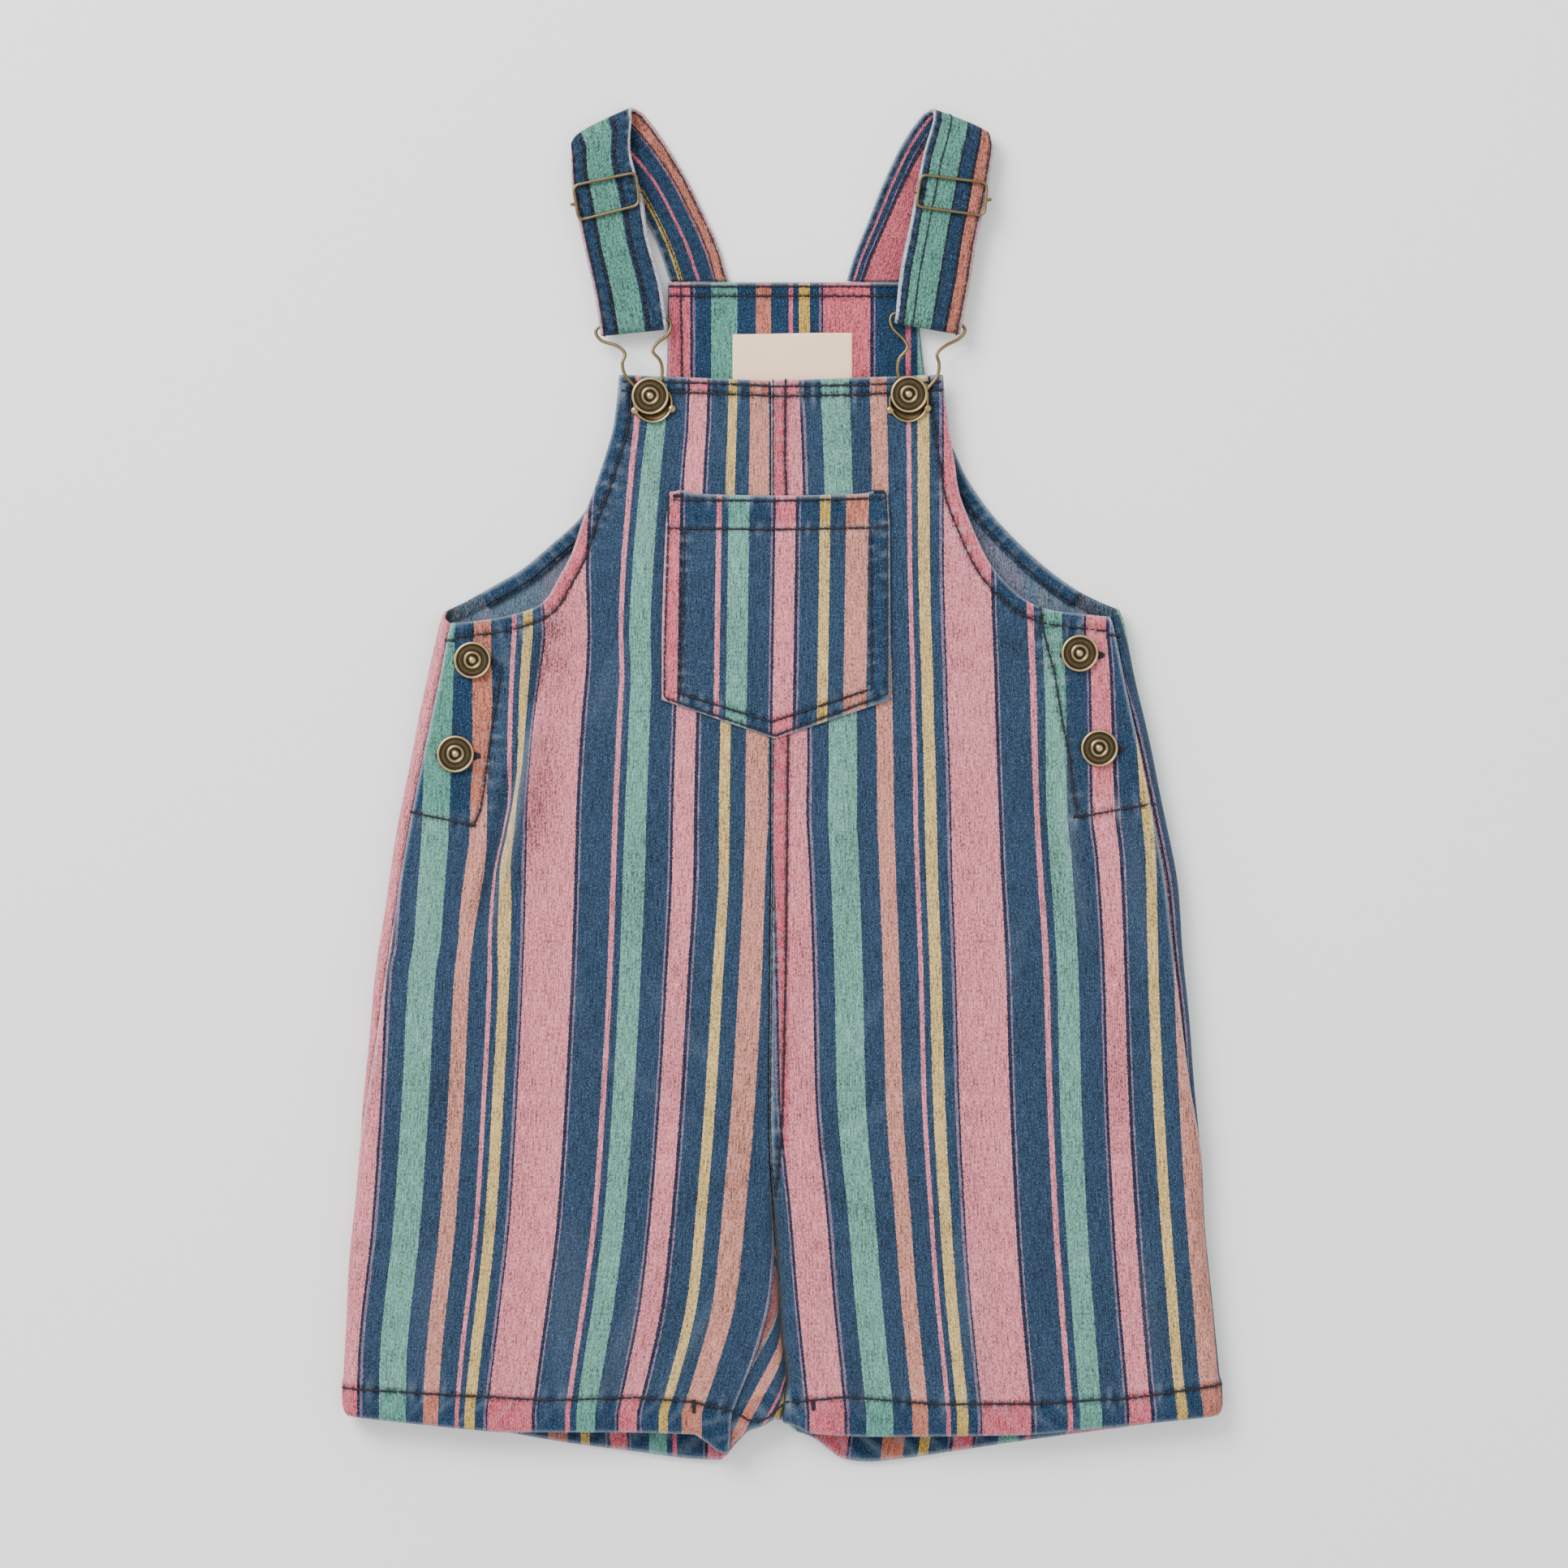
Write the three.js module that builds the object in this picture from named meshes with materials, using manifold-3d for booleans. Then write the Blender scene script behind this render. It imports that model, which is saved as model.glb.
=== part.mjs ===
// Child's bib overalls with short legs, striped denim, laid flat with the back underneath.
// Millimetres. X runs to the wearer's left, Y towards the straps, Z up from the surface.

import * as THREE from 'three';
import { mergeVertices } from 'three/addons/utils/BufferGeometryUtils.js';
import Module from 'manifold-3d';

const wasm = await Module();
wasm.setup();

// Driving sizes of the cloth
const wall = 1.5;            // denim with its seam allowances
const seamGap = 0.3;         // between pieces that are sewn together
const liftOff = 0.3;         // between a piece and the one that lies on it
const hemFold = 1.2;         // extra thickness of a turned hem
const sideFoldReach = 0.55;  // how far the side fold reaches in, as a share of the height
const forkTop = -159;        // the two legs part between these levels
const forkLow = -194;
const legParting = 0.25;     // half the daylight between the legs

// Bib, pocket, facing and label
const bibTopCentre = 174.1;
const backBibTop = 217.2;
const rowTiltY = 62;         // level on the centre seam that faces the underarm
const pocketWall = 1.3;
const facingWall = 1.3;
const facingLow = 150;
const bandWall = 1;
const bandWidth = 7;
const bandTopY = 146;
const bandEnd = 0.83;        // share of the armhole that the band reaches, short of the fold
const labelWall = 0.8;
const label = { left: -21.4, right: 30.1, top: 194.8, low: 168 };
const underlap = { top: 57, low: -14, inside: 20, outside: 3, wall: 1.2 };

// Straps, sliders and hooks
const strapWall = 2;
const strapLevel = { back: 1.15, front: 7.6, slider: 8, under: 4.6, bar: 6.7 };
const barLoopRadius = 2.1;
const wireRadius = 0.8;
const hookWireRadius = 0.9;
const sliderLevel = 10.3;
const sliderBarLevel = 5.9;
const buttonRadius = 8;

// Height of the front's outer face above the surface, down the garment
const heightRows = [
  { y: 300, height: 8 }, { y: 150, height: 8.2 }, { y: 110, height: 9.2 }, { y: 69, height: 10.8 },
  { y: 0, height: 12 }, { y: -60, height: 12.6 }, { y: -200, height: 13 }, { y: -300, height: 12.4 },
];

// Outer fold of the body and legs, as distances from the middle on the wearer's right and left
const edgeRows = [
  { y: 150, right: 146, left: 145 }, { y: 76, right: 146.9, left: 145.8 },
  { y: 69, right: 148.8, left: 148.1 }, { y: 44, right: 153.7, left: 153.3 },
  { y: 9, right: 161, left: 160.7 }, { y: -26, right: 167.7, left: 167.7 },
  { y: -47, right: 171.2, left: 171.2 }, { y: -82, right: 175.7, left: 174.3 },
  { y: -117, right: 179.2, left: 177.1 }, { y: -152, right: 182.4, left: 179.9 },
  { y: -187, right: 185.5, left: 182.7 }, { y: -222, right: 188, left: 185.7 },
  { y: -257, right: 189.5, left: 189.2 }, { y: -266, right: 189.7, left: 189.7 },
  { y: -275, right: 187.5, left: 187.4 }, { y: -300, right: 184, left: 184 },
];

// Side seam and side opening: how far in from the outer fold they show on the front
const seamRows = [
  { y: 150, inset: 5.7 }, { y: -50, inset: 5.4 }, { y: -90, inset: 4.4 }, { y: -120, inset: 3 },
  { y: -170, inset: 0 }, { y: -300, inset: 0 },
];

// Centre front seam, then the line where the legs meet
const centreRows = [
  { y: 220, x: -4.9 }, { y: 0, x: -4.9 }, { y: -145, x: -5.9 }, { y: -180, x: -4 },
  { y: -192, x: -3 }, { y: -213, x: -1.5 }, { y: -233, x: -0.6 }, { y: -256, x: 1.9 },
  { y: -266, x: 1.4 }, { y: -272, x: 0 }, { y: -300, x: 0 },
];

// Inseams: how far they roll onto the front of each leg
const inseamRows = [
  { y: -150, right: 0, left: 0 }, { y: -195, right: 0.4, left: 0 }, { y: -222, right: 3.5, left: 0 },
  { y: -239, right: 8.8, left: 0 }, { y: -257, right: 17.5, left: 0 },
  { y: -269, right: 21, left: 0 }, { y: -300, right: 23, left: 0 },
];

// Armhole edges, from the bib's corner to the underarm, as distances from the middle
const frontArmhole = {
  right: [
    { out: 70.4, y: 176.7 }, { out: 71.9, y: 161 }, { out: 73.9, y: 150 }, { out: 80.9, y: 128 },
    { out: 85.1, y: 117 }, { out: 90.7, y: 100 }, { out: 96.8, y: 88.4 }, { out: 101.2, y: 80.6 },
    { out: 106.8, y: 76.3 }, { out: 118.7, y: 72.6 }, { out: 131.3, y: 70.6 }, { out: 143.1, y: 69.5 },
  ],
  left: [
    { out: 69.3, y: 176.7 }, { out: 70.2, y: 166 }, { out: 72.1, y: 152 }, { out: 74.3, y: 138.6 },
    { out: 76.2, y: 126 }, { out: 81, y: 113 }, { out: 86.8, y: 100 }, { out: 91.7, y: 92.2 },
    { out: 98.9, y: 84.3 }, { out: 106.1, y: 78.8 }, { out: 115.3, y: 75.3 }, { out: 128, y: 73.6 },
    { out: 141.4, y: 72.2 },
  ],
};
const backArmhole = {
  right: [
    { out: 49.4, y: 217.2 }, { out: 50.1, y: 177 }, { out: 53.2, y: 161.5 }, { out: 60.9, y: 146 },
    { out: 71.4, y: 133.5 }, { out: 81.5, y: 123.4 }, { out: 88.7, y: 114 }, { out: 99.9, y: 103.9 },
    { out: 112.4, y: 93.3 }, { out: 125, y: 85.9 }, { out: 137.4, y: 78.9 }, { out: 145, y: 75.6 },
  ],
  left: [
    { out: 57.4, y: 217.2 }, { out: 61.6, y: 177 }, { out: 66, y: 161.5 }, { out: 74.2, y: 144.4 },
    { out: 79.6, y: 132.8 }, { out: 88.2, y: 120 }, { out: 97.4, y: 109.4 }, { out: 111.7, y: 95.7 },
    { out: 126, y: 85 }, { out: 136.7, y: 79.3 }, { out: 144, y: 76.4 },
  ],
};

// Leg hems by their place across the garment
const frontHemRows = [
  { x: -190, y: -272 }, { x: -137, y: -277.7 }, { x: -120, y: -279 }, { x: -81, y: -279 },
  { x: -38, y: -279.8 }, { x: -33, y: -282.5 }, { x: -24, y: -288 }, { x: -22, y: -288 },
  { x: 2, y: -275.5 }, { x: 13, y: -279.5 }, { x: 40, y: -280.9 }, { x: 104, y: -280.2 },
  { x: 137, y: -277.4 }, { x: 190, y: -272 },
];
const backHemRows = [
  { x: -190, y: -272 }, { x: -156, y: -276 }, { x: -135, y: -278 }, { x: -94, y: -284.7 },
  { x: -67, y: -288.2 }, { x: -38, y: -291.7 }, { x: -28, y: -292 }, { x: -24, y: -288 },
  { x: -14, y: -278.7 }, { x: -7, y: -276 }, { x: -2, y: -273.5 }, { x: 2, y: -275.5 },
  { x: 5, y: -279 }, { x: 13, y: -282 }, { x: 28, y: -291.7 }, { x: 38, y: -292.8 },
  { x: 51, y: -291.7 }, { x: 76, y: -288.2 }, { x: 99, y: -284.7 }, { x: 137, y: -279.5 },
  { x: 163, y: -276 }, { x: 190, y: -272 },
];

// Largest folds of the front: a ridge (rise > 0) or trough from one end to the other
const folds = [
  { name: 'ridge below the right placket', x0: -110, y0: 40, x1: -128, y1: -70, half: 9, rise: 2 },
  { name: 'trough beside it', x0: -122, y0: 20, x1: -140, y1: -64, half: 6, rise: -1.4 },
  { name: 'right hip', x0: -70, y0: -105, x1: -18, y1: -158, half: 11, rise: -1.3 },
  { name: 'left hip', x0: 62, y0: -105, x1: 12, y1: -158, half: 11, rise: -1.3 },
  { name: 'right leg, inner', x0: -34, y0: -190, x1: -62, y1: -276, half: 12, rise: -1.6 },
  { name: 'right leg, outer', x0: -120, y0: -170, x1: -118, y1: -276, half: 18, rise: -1.2 },
  { name: 'left leg, inner', x0: 34, y0: -190, x1: 46, y1: -276, half: 12, rise: -1.2 },
  { name: 'left leg, outer', x0: 118, y0: -170, x1: 128, y1: -276, half: 18, rise: -1.2 },
  { name: 'across the chest', x0: -78, y0: 118, x1: -66, y1: 60, half: 9, rise: -0.8 },
];

// Chest pocket: its sides by level, and the point in the middle of its lower edge
const pocket = {
  sides: [
    { y: 126, left: -48.5, right: 45.2 }, { y: 110, left: -50.2, right: 46.2 },
    { y: 53, left: -51.8, right: 46.4 }, { y: 36.5, left: -51.8, right: 46.2 },
  ],
  point: { x: -3.2, y: 19.8 },
};

// Straps: both edges of the back run and of the front run (outer edge, then inner edge)
const straps = {
  right: {
    back: [
      { ox: -48.7, oy: 218, ix: -23.4, iy: 218 }, { ox: -53.2, oy: 231.5, ix: -28, iy: 233.3 },
      { ox: -59, oy: 244.5, ix: -34.3, iy: 247.3 }, { ox: -67.5, oy: 258, ix: -42.7, iy: 264 },
      { ox: -79, oy: 267.5, ix: -53.5, iy: 281.3 },
    ],
    roll: { ox: -91.5, oy: 273.2, ix: -65, iy: 292 },
    front: [
      { ox: -91.6, oy: 268, ix: -67.4, iy: 287 }, { ox: -91, oy: 259.5, ix: -65.8, iy: 274.5 },
      { ox: -88.6, oy: 246.5, ix: -61.2, iy: 255 }, { ox: -85, oy: 230, ix: -58, iy: 236 },
      { ox: -81, oy: 212, ix: -52.7, iy: 217 },
    ],
    loop: { ox: -78.3, oy: 194.4, ix: -50, iy: 197.3 },
  },
  left: {
    back: [
      { ox: 51.8, oy: 218, ix: 28, iy: 218 }, { ox: 56, oy: 228, ix: 31, iy: 228 },
      { ox: 62, oy: 239.5, ix: 36.6, iy: 242 }, { ox: 69.8, oy: 253, ix: 44.2, iy: 261 },
      { ox: 78.5, oy: 266, ix: 52.5, iy: 278 },
    ],
    roll: { ox: 90.6, oy: 278.4, ix: 64.6, iy: 291.4 },
    front: [
      { ox: 91.3, oy: 273, ix: 64.5, iy: 285 }, { ox: 89.6, oy: 263, ix: 61, iy: 272 },
      { ox: 87.2, oy: 250, ix: 57.8, iy: 256 }, { ox: 84, oy: 236, ix: 55, iy: 241 },
      { ox: 80.8, oy: 216, ix: 50.8, iy: 220 },
    ],
    loop: { ox: 76.7, oy: 195, ix: 48.6, iy: 200 },
  },
};

// Slider frames by their corners, with the ends of the bar that the strap passes over
const sliders = {
  right: {
    corners: [{ x: -91, y: 258.9 }, { x: -62.5, y: 264.6 }, { x: -61, y: 249.1 }, { x: -88.5, y: 242.5 }],
    bar: [{ x: -92, y: 250 }, { x: -60, y: 256.2 }],
  },
  left: {
    corners: [{ x: 59, y: 263.7 }, { x: 89.1, y: 260.1 }, { x: 87.8, y: 244.5 }, { x: 57, y: 248.5 }],
    bar: [{ x: 56.2, y: 255.8 }, { x: 91, y: 252.2 }],
  },
};

// Hook wires from the plate up one side, over the bar and down the other side
const hooks = {
  right: {
    wire: [
      { x: -62, y: 170, z: 9.2 }, { x: -67.8, y: 176.6, z: 9.2 }, { x: -69, y: 181.5, z: 9.2 },
      { x: -67.9, y: 185.7, z: 9 }, { x: -71, y: 189, z: 8.3 }, { x: -78.4, y: 191.8, z: 7.2 },
      { x: -80.6, y: 195.2, z: 6.7 }, { x: -79.2, y: 197.4, z: 6.7 }, { x: -64.5, y: 199, z: 6.7 },
      { x: -49.6, y: 200.6, z: 6.7 }, { x: -48.2, y: 198.4, z: 6.7 }, { x: -49.3, y: 194.6, z: 7.2 },
      { x: -54.4, y: 190, z: 8.3 }, { x: -55.9, y: 186.9, z: 9 }, { x: -52.8, y: 182.9, z: 9.2 },
      { x: -51.8, y: 178, z: 9.2 }, { x: -53.4, y: 170.5, z: 9.2 },
    ],
    plate: { x: -55.8, y: 164.4 },
    button: { x: -57, y: 167.5 },
  },
  left: {
    wire: [
      { x: 62, y: 170, z: 9.2 }, { x: 67, y: 176.6, z: 9.2 }, { x: 67.6, y: 181.5, z: 9.2 },
      { x: 66.8, y: 185.7, z: 9 }, { x: 70, y: 189, z: 8.3 }, { x: 76.5, y: 192.6, z: 7.2 },
      { x: 78.9, y: 196, z: 6.7 }, { x: 77.6, y: 198.2, z: 6.7 }, { x: 63, y: 200.7, z: 6.7 },
      { x: 48.2, y: 203.3, z: 6.7 }, { x: 46.6, y: 201, z: 6.7 }, { x: 47.6, y: 197, z: 7.2 },
      { x: 52.6, y: 191.6, z: 8.3 }, { x: 54, y: 188.4, z: 9 }, { x: 50.4, y: 183.6, z: 9.2 },
      { x: 49.6, y: 178.4, z: 9.2 }, { x: 51.6, y: 171, z: 9.2 },
    ],
    plate: { x: 54.4, y: 164.6 },
    button: { x: 54.6, y: 168.2 },
  },
};
const hookPlate = { radius: 8.6, hole: 4.4, thickness: 1.2, low: 8.6 };

const sideButtons = [
  { name: 'side_button_right_upper', x: -133.5, y: 53.5 },
  { name: 'side_button_right_lower', x: -140.8, y: 13.1 },
  { name: 'side_button_left_upper', x: 128.1, y: 56.5 },
  { name: 'side_button_left_lower', x: 136.5, y: 15.6 },
];

// Materials
const denim = new THREE.MeshStandardMaterial({ color: 0x7d93ab, roughness: 0.92, metalness: 0 });
const cotton = new THREE.MeshStandardMaterial({ color: 0xe9e2cf, roughness: 0.85, metalness: 0 });
const brass = new THREE.MeshStandardMaterial({ color: 0x8d7a52, roughness: 0.42, metalness: 0.9 });

const group = new THREE.Group();
const add = (name, geometry, material) => {
  const mesh = new THREE.Mesh(geometry, material);
  mesh.name = name;
  group.add(mesh);
};

// Smooth value between the rows of a table, with no overshoot
function read(rows, at, key, column) {
  const rising = rows[0][key] < rows[rows.length - 1][key];
  const list = rising ? rows : [...rows].reverse();
  const last = list.length - 1;
  if (at <= list[0][key]) return list[0][column];
  if (at >= list[last][key]) return list[last][column];
  const i = list.findIndex((row) => row[key] > at) - 1;
  const rate = (j) => (list[j + 1][column] - list[j][column]) / (list[j + 1][key] - list[j][key]);
  const slope = (j) => {
    if (j === 0) return rate(0);
    if (j === last) return rate(last - 1);
    const before = rate(j - 1);
    const after = rate(j);
    return before * after <= 0 ? 0 : (2 * before * after) / (before + after);
  };
  const span = list[i + 1][key] - list[i][key];
  const t = (at - list[i][key]) / span;
  const [t2, t3] = [t * t, t * t * t];
  return list[i][column] * (2 * t3 - 3 * t2 + 1) + slope(i) * span * (t3 - 2 * t2 + t)
    + list[i + 1][column] * (3 * t2 - 2 * t3) + slope(i + 1) * span * (t3 - t2);
}
const clamp = (value, low, high) => Math.min(high, Math.max(low, value));
const mix = (a, b, t) => a + (b - a) * t;
const ease = (t) => t * t * (3 - 2 * t);
const sign = { right: -1, left: 1 };

// Height that the folds add to the front at one place
function foldRise(x, y) {
  let rise = 0;
  for (const f of folds) {
    const [dx, dy] = [f.x1 - f.x0, f.y1 - f.y0];
    const along = clamp(((x - f.x0) * dx + (y - f.y0) * dy) / (dx * dx + dy * dy), 0, 1);
    const off = Math.hypot(x - f.x0 - along * dx, y - f.y0 - along * dy) / f.half;
    rise += f.rise * Math.exp(-off * off) * Math.sin(Math.PI * mix(0.12, 0.88, along));
  }
  return rise;
}

// Section round one half of the garment at a level: it runs from the centre over the front,
// round the outer fold and back along the surface. Below the fork it also rounds the inner leg.
function section(side, y) {
  const height = read(heightRows, y, 'y', 'height');
  const fork = ease(clamp((forkTop - y) / (forkTop - forkLow), 0, 1));
  const innerRadius = 0.5 * height * fork;
  const outerRadius = sideFoldReach * height;
  const inner = sign[side] * read(centreRows, y, 'y', 'x') + seamGap / 2 + legParting * fork;
  const outer = read(edgeRows, y, 'y', side);
  const quarter = (Math.PI / 2) * innerRadius;
  const half = Math.PI * Math.sqrt((outerRadius ** 2 + (height / 2) ** 2) / 2);
  const flat = outer - outerRadius - inner - innerRadius;
  const total = 2 * quarter + 2 * flat + half;
  return {
    height, inner, outer, innerRadius, outerRadius, quarter, half, flat, total, closed: fork === 1,
  };
}

// Place along the section of a point at a given distance from the middle, on the front
function placeOnFront(side, y, out) {
  const s = section(side, y);
  const bend = out - (s.outer - s.outerRadius);
  if (bend <= 0) return s.quarter + out - s.inner - s.innerRadius;
  const turn = Math.asin(clamp(bend / s.outerRadius, 0, 1));
  return s.quarter + s.flat + (s.half * turn) / Math.PI;
}

const sideSeam = (side, y) => (
  placeOnFront(side, y, read(edgeRows, y, 'y', side) - read(seamRows, y, 'y', 'inset'))
);

// Place of the inseam along the section, from the innermost point onto the front of the leg
function inseam(side, y) {
  const s = section(side, y);
  const inset = read(inseamRows, y, 'y', side);
  if (inset === 0 || s.innerRadius === 0) return 0;
  if (inset >= s.innerRadius) return s.quarter + inset - s.innerRadius;
  const turn = Math.asin((s.innerRadius - inset) / s.innerRadius);
  return s.quarter * (1 - turn / (Math.PI / 2));
}

// Point of the outer face at a place along the section
function skin(side, place, y) {
  const s = section(side, y);
  let c = s.closed ? (place + s.total) % s.total : clamp(place, 0, s.total);
  let [out, z, up] = [0, 0, 0];
  if (c < s.quarter) {
    const turn = (Math.PI / 2) * (1 - c / s.quarter);
    out = s.inner + s.innerRadius * (1 - Math.sin(turn));
    z = s.height - s.innerRadius * (1 - Math.cos(turn));
    up = Math.cos(turn);
  } else if ((c -= s.quarter) < s.flat) {
    out = s.inner + s.innerRadius + c;
    z = s.height;
    up = 1;
  } else if ((c -= s.flat) < s.half) {
    const turn = (Math.PI * c) / s.half;
    out = s.outer - s.outerRadius + s.outerRadius * Math.sin(turn);
    z = (s.height / 2) * (1 + Math.cos(turn));
    up = Math.max(0, Math.cos(turn));
  } else if ((c -= s.half) < s.flat) {
    out = s.outer - s.outerRadius - c;
  } else {
    const turn = s.quarter > 0 ? ((Math.PI / 2) * (c - s.flat)) / s.quarter : 0;
    out = s.inner + s.innerRadius * (1 - Math.sin(turn));
    z = s.innerRadius * (1 - Math.cos(turn));
  }
  const x = sign[side] * out;
  return new THREE.Vector3(x, y, z + up * foldRise(x, y));
}

// Outward direction of the cloth there
function facing(side, place, y) {
  const step = 0.02;
  const across = skin(side, place + step, y).sub(skin(side, place - step, y));
  const along = skin(side, place, y + step).sub(skin(side, place, y - step));
  return across.cross(along).multiplyScalar(sign[side]).normalize();
}

const evenly = (count) => Array.from({ length: count + 1 }, (unused, n) => n / count);

// A cloth wall over a grid: pointAt gives the outer point, its direction and the wall's depths
function clothWall(acrossShares, downShares, pointAt) {
  const [columns, rows] = [acrossShares.length - 1, downShares.length - 1];
  const corners = [];
  const index = (layer, i, j) => layer * (columns + 1) * (rows + 1) + j * (columns + 1) + i;
  const layers = [[], []];
  for (let j = 0; j <= rows; j += 1) {
    for (let i = 0; i <= columns; i += 1) {
      const { point, normal, depths } = pointAt(acrossShares[i], downShares[j], j);
      layers.forEach((layer, n) => layer.push(point.clone().addScaledVector(normal, -depths[n])));
    }
  }
  const quad = (a, b, c, d) => corners.push(a, b, c, a, c, d);
  for (let j = 0; j < rows; j += 1) {
    for (let i = 0; i < columns; i += 1) {
      quad(index(0, i, j), index(0, i + 1, j), index(0, i + 1, j + 1), index(0, i, j + 1));
      quad(index(1, i, j), index(1, i, j + 1), index(1, i + 1, j + 1), index(1, i + 1, j));
    }
  }
  const rim = [];
  for (let i = 0; i < columns; i += 1) rim.push([i, 0]);
  for (let j = 0; j < rows; j += 1) rim.push([columns, j]);
  for (let i = columns; i > 0; i -= 1) rim.push([i, rows]);
  for (let j = rows; j > 0; j -= 1) rim.push([0, j]);
  rim.forEach(([i, j], n) => {
    const [k, l] = rim[(n + 1) % rim.length];
    quad(index(0, i, j), index(1, i, j), index(1, k, l), index(0, k, l));
  });
  return closedGeometry([...layers[0], ...layers[1]], corners);
}

// Geometry from points and corner indices, turned so that its faces point out
function closedGeometry(points, corners) {
  let volume = 0;
  for (let n = 0; n < corners.length; n += 3) {
    const [a, b, c] = [points[corners[n]], points[corners[n + 1]], points[corners[n + 2]]];
    volume += a.dot(b.clone().cross(c));
  }
  const facesOut = volume > 0 ? corners : [...corners].reverse();
  const geometry = new THREE.BufferGeometry();
  geometry.setAttribute('position', new THREE.Float32BufferAttribute(points.flatMap((p) => [p.x, p.y, p.z]), 3));
  geometry.setIndex(facesOut);
  return geometry;
}

// The same faces with their corners shared, slivers dropped and turned outwards
function outward(geometry) {
  const bare = geometry.clone();
  bare.deleteAttribute('normal');
  bare.deleteAttribute('uv');
  const merged = mergeVertices(bare, 1e-3);
  const p = merged.attributes.position;
  const points = Array.from({ length: p.count }, (unused, n) => new THREE.Vector3().fromBufferAttribute(p, n));
  const corners = [];
  for (let n = 0; n < merged.index.count; n += 3) {
    const face = [merged.index.getX(n), merged.index.getX(n + 1), merged.index.getX(n + 2)];
    if (new Set(face).size === 3) corners.push(...face);
  }
  return closedGeometry(points, corners);
}

// Closed geometries joined into one
function toSolid(geometry) {
  const { attributes, index } = outward(geometry);
  const vertProperties = new Float32Array(attributes.position.array);
  return new wasm.Manifold(new wasm.Mesh({ numProp: 3, vertProperties, triVerts: new Uint32Array(index.array) }));
}
function join(...pieces) {
  const whole = pieces.map(toSolid).reduce((sum, piece) => sum.add(piece)).getMesh();
  const geometry = new THREE.BufferGeometry();
  geometry.setAttribute('position', new THREE.BufferAttribute(new Float32Array(whole.vertProperties), 3));
  geometry.setIndex(new THREE.BufferAttribute(new Uint32Array(whole.triVerts), 1));
  return geometry;
}

// Levels down a half panel below the underarm, closer at the fork and at the hem
const lowerShares = [
  0.08, 0.16, 0.24, 0.32, 0.4, 0.48, 0.55, 0.62, 0.665, 0.705, 0.745, 0.79, 0.84, 0.89, 0.93, 0.95, 0.975, 1,
];
const frontColumns = [0, 0.02, 0.04, 0.06, 0.1, 0.2, 0.34, 0.48, 0.62, 0.76, 0.88, 0.95, 0.98, 1];
const backColumns = [
  0, 0.02, 0.04, 0.06, 0.09, 0.13, 0.2, 0.34, 0.5, 0.66, 0.8, 0.88, 0.9, 0.92, 0.94, 0.955, 0.97, 0.985, 1,
];
const armholeRows = 10;
const panelRows = armholeRows + lowerShares.length;
const hemRows = 3;           // rows of the grid that lie in the leg hem

const armholeCurve = (rows) => new THREE.SplineCurve(rows.map((r) => new THREE.Vector2(r.out, r.y)));

function frontPanel(side) {
  const curve = armholeCurve(frontArmhole[side]);
  const underarmY = frontArmhole[side][frontArmhole[side].length - 1].y;
  return clothWall(frontColumns, evenly(panelRows), (u, v, row) => {
    let [place, y] = [0, 0];
    if (row <= armholeRows) {
      const share = row / armholeRows;
      const edge = curve.getPointAt(share);
      y = mix(mix(bibTopCentre, rowTiltY, share), edge.y, u);
      place = mix(0, placeOnFront(side, y, edge.x), u);
    } else {
      const share = lowerShares[row - armholeRows - 1];
      const hemX = skin(side, mix(inseam(side, forkLow * 1.4), sideSeam(side, -270), u), -270).x;
      y = mix(mix(rowTiltY, underarmY, u), read(frontHemRows, hemX, 'x', 'y'), share);
      place = mix(inseam(side, y), sideSeam(side, y), u);
    }
    const inSeam = clamp(place, inseam(side, y) + seamGap / 2, sideSeam(side, y) - seamGap / 2);
    const point = skin(side, row > armholeRows ? inSeam : place, y);
    const hem = row >= panelRows - hemRows || row <= 1 ? hemFold : 0;
    return { point, normal: facing(side, place, y), depths: [0, wall + hem] };
  });
}

function backPanel(side) {
  const curve = armholeCurve(backArmhole[side]);
  const underarmY = frontArmhole[side][frontArmhole[side].length - 1].y;
  return clothWall(backColumns, evenly(panelRows), (u, v, row) => {
    // back counts the distance along the section from its far end, at the centre of the back
    let [back, y] = [0, 0];
    if (row < armholeRows) {
      const edge = curve.getPointAt(row / (armholeRows - 1));
      const share = row / armholeRows;
      y = mix(mix(backBibTop, rowTiltY, share), edge.y, u);
      back = mix(0, edge.x - section(side, y).inner, u);
    } else if (row === armholeRows) {
      y = mix(rowTiltY, underarmY, u);
      back = mix(0, section(side, y).total - sideSeam(side, y) - seamGap / 2, u);
    } else {
      const share = lowerShares[row - armholeRows - 1];
      const ends = [-inseam(side, -270), section(side, -270).total - sideSeam(side, -270)];
      const hemX = skin(side, section(side, -270).total - mix(...ends, u), -270).x;
      y = mix(mix(rowTiltY, underarmY, u), read(backHemRows, hemX, 'x', 'y'), share);
      const first = -inseam(side, y) + seamGap / 2;
      const last = section(side, y).total - sideSeam(side, y) - seamGap / 2;
      back = mix(first, last, u);
    }
    const place = section(side, y).total - back;
    const hem = row >= panelRows - hemRows ? hemFold : 0;
    const point = skin(side, place, y);
    return { point, normal: facing(side, place - 0.05, y), depths: [0, wall + hem] };
  });
}

// Piece that lies on the front, following the front's height: leftAt and rightAt give its sides
function overFront(columns, rows, leftAt, rightAt, endAt, thickness) {
  return clothWall(evenly(columns), evenly(rows), (u, v) => {
    const [left, right] = [leftAt(v), rightAt(v)];
    const x = mix(left.x, right.x, u);
    const y = mix(left.y, right.y, u) + endAt(u, v);
    const z = read(heightRows, y, 'y', 'height') + foldRise(x, y) + liftOff + thickness;
    return { point: new THREE.Vector3(x, y, z), normal: new THREE.Vector3(0, 0, 1), depths: [0, thickness] };
  });
}

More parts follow.
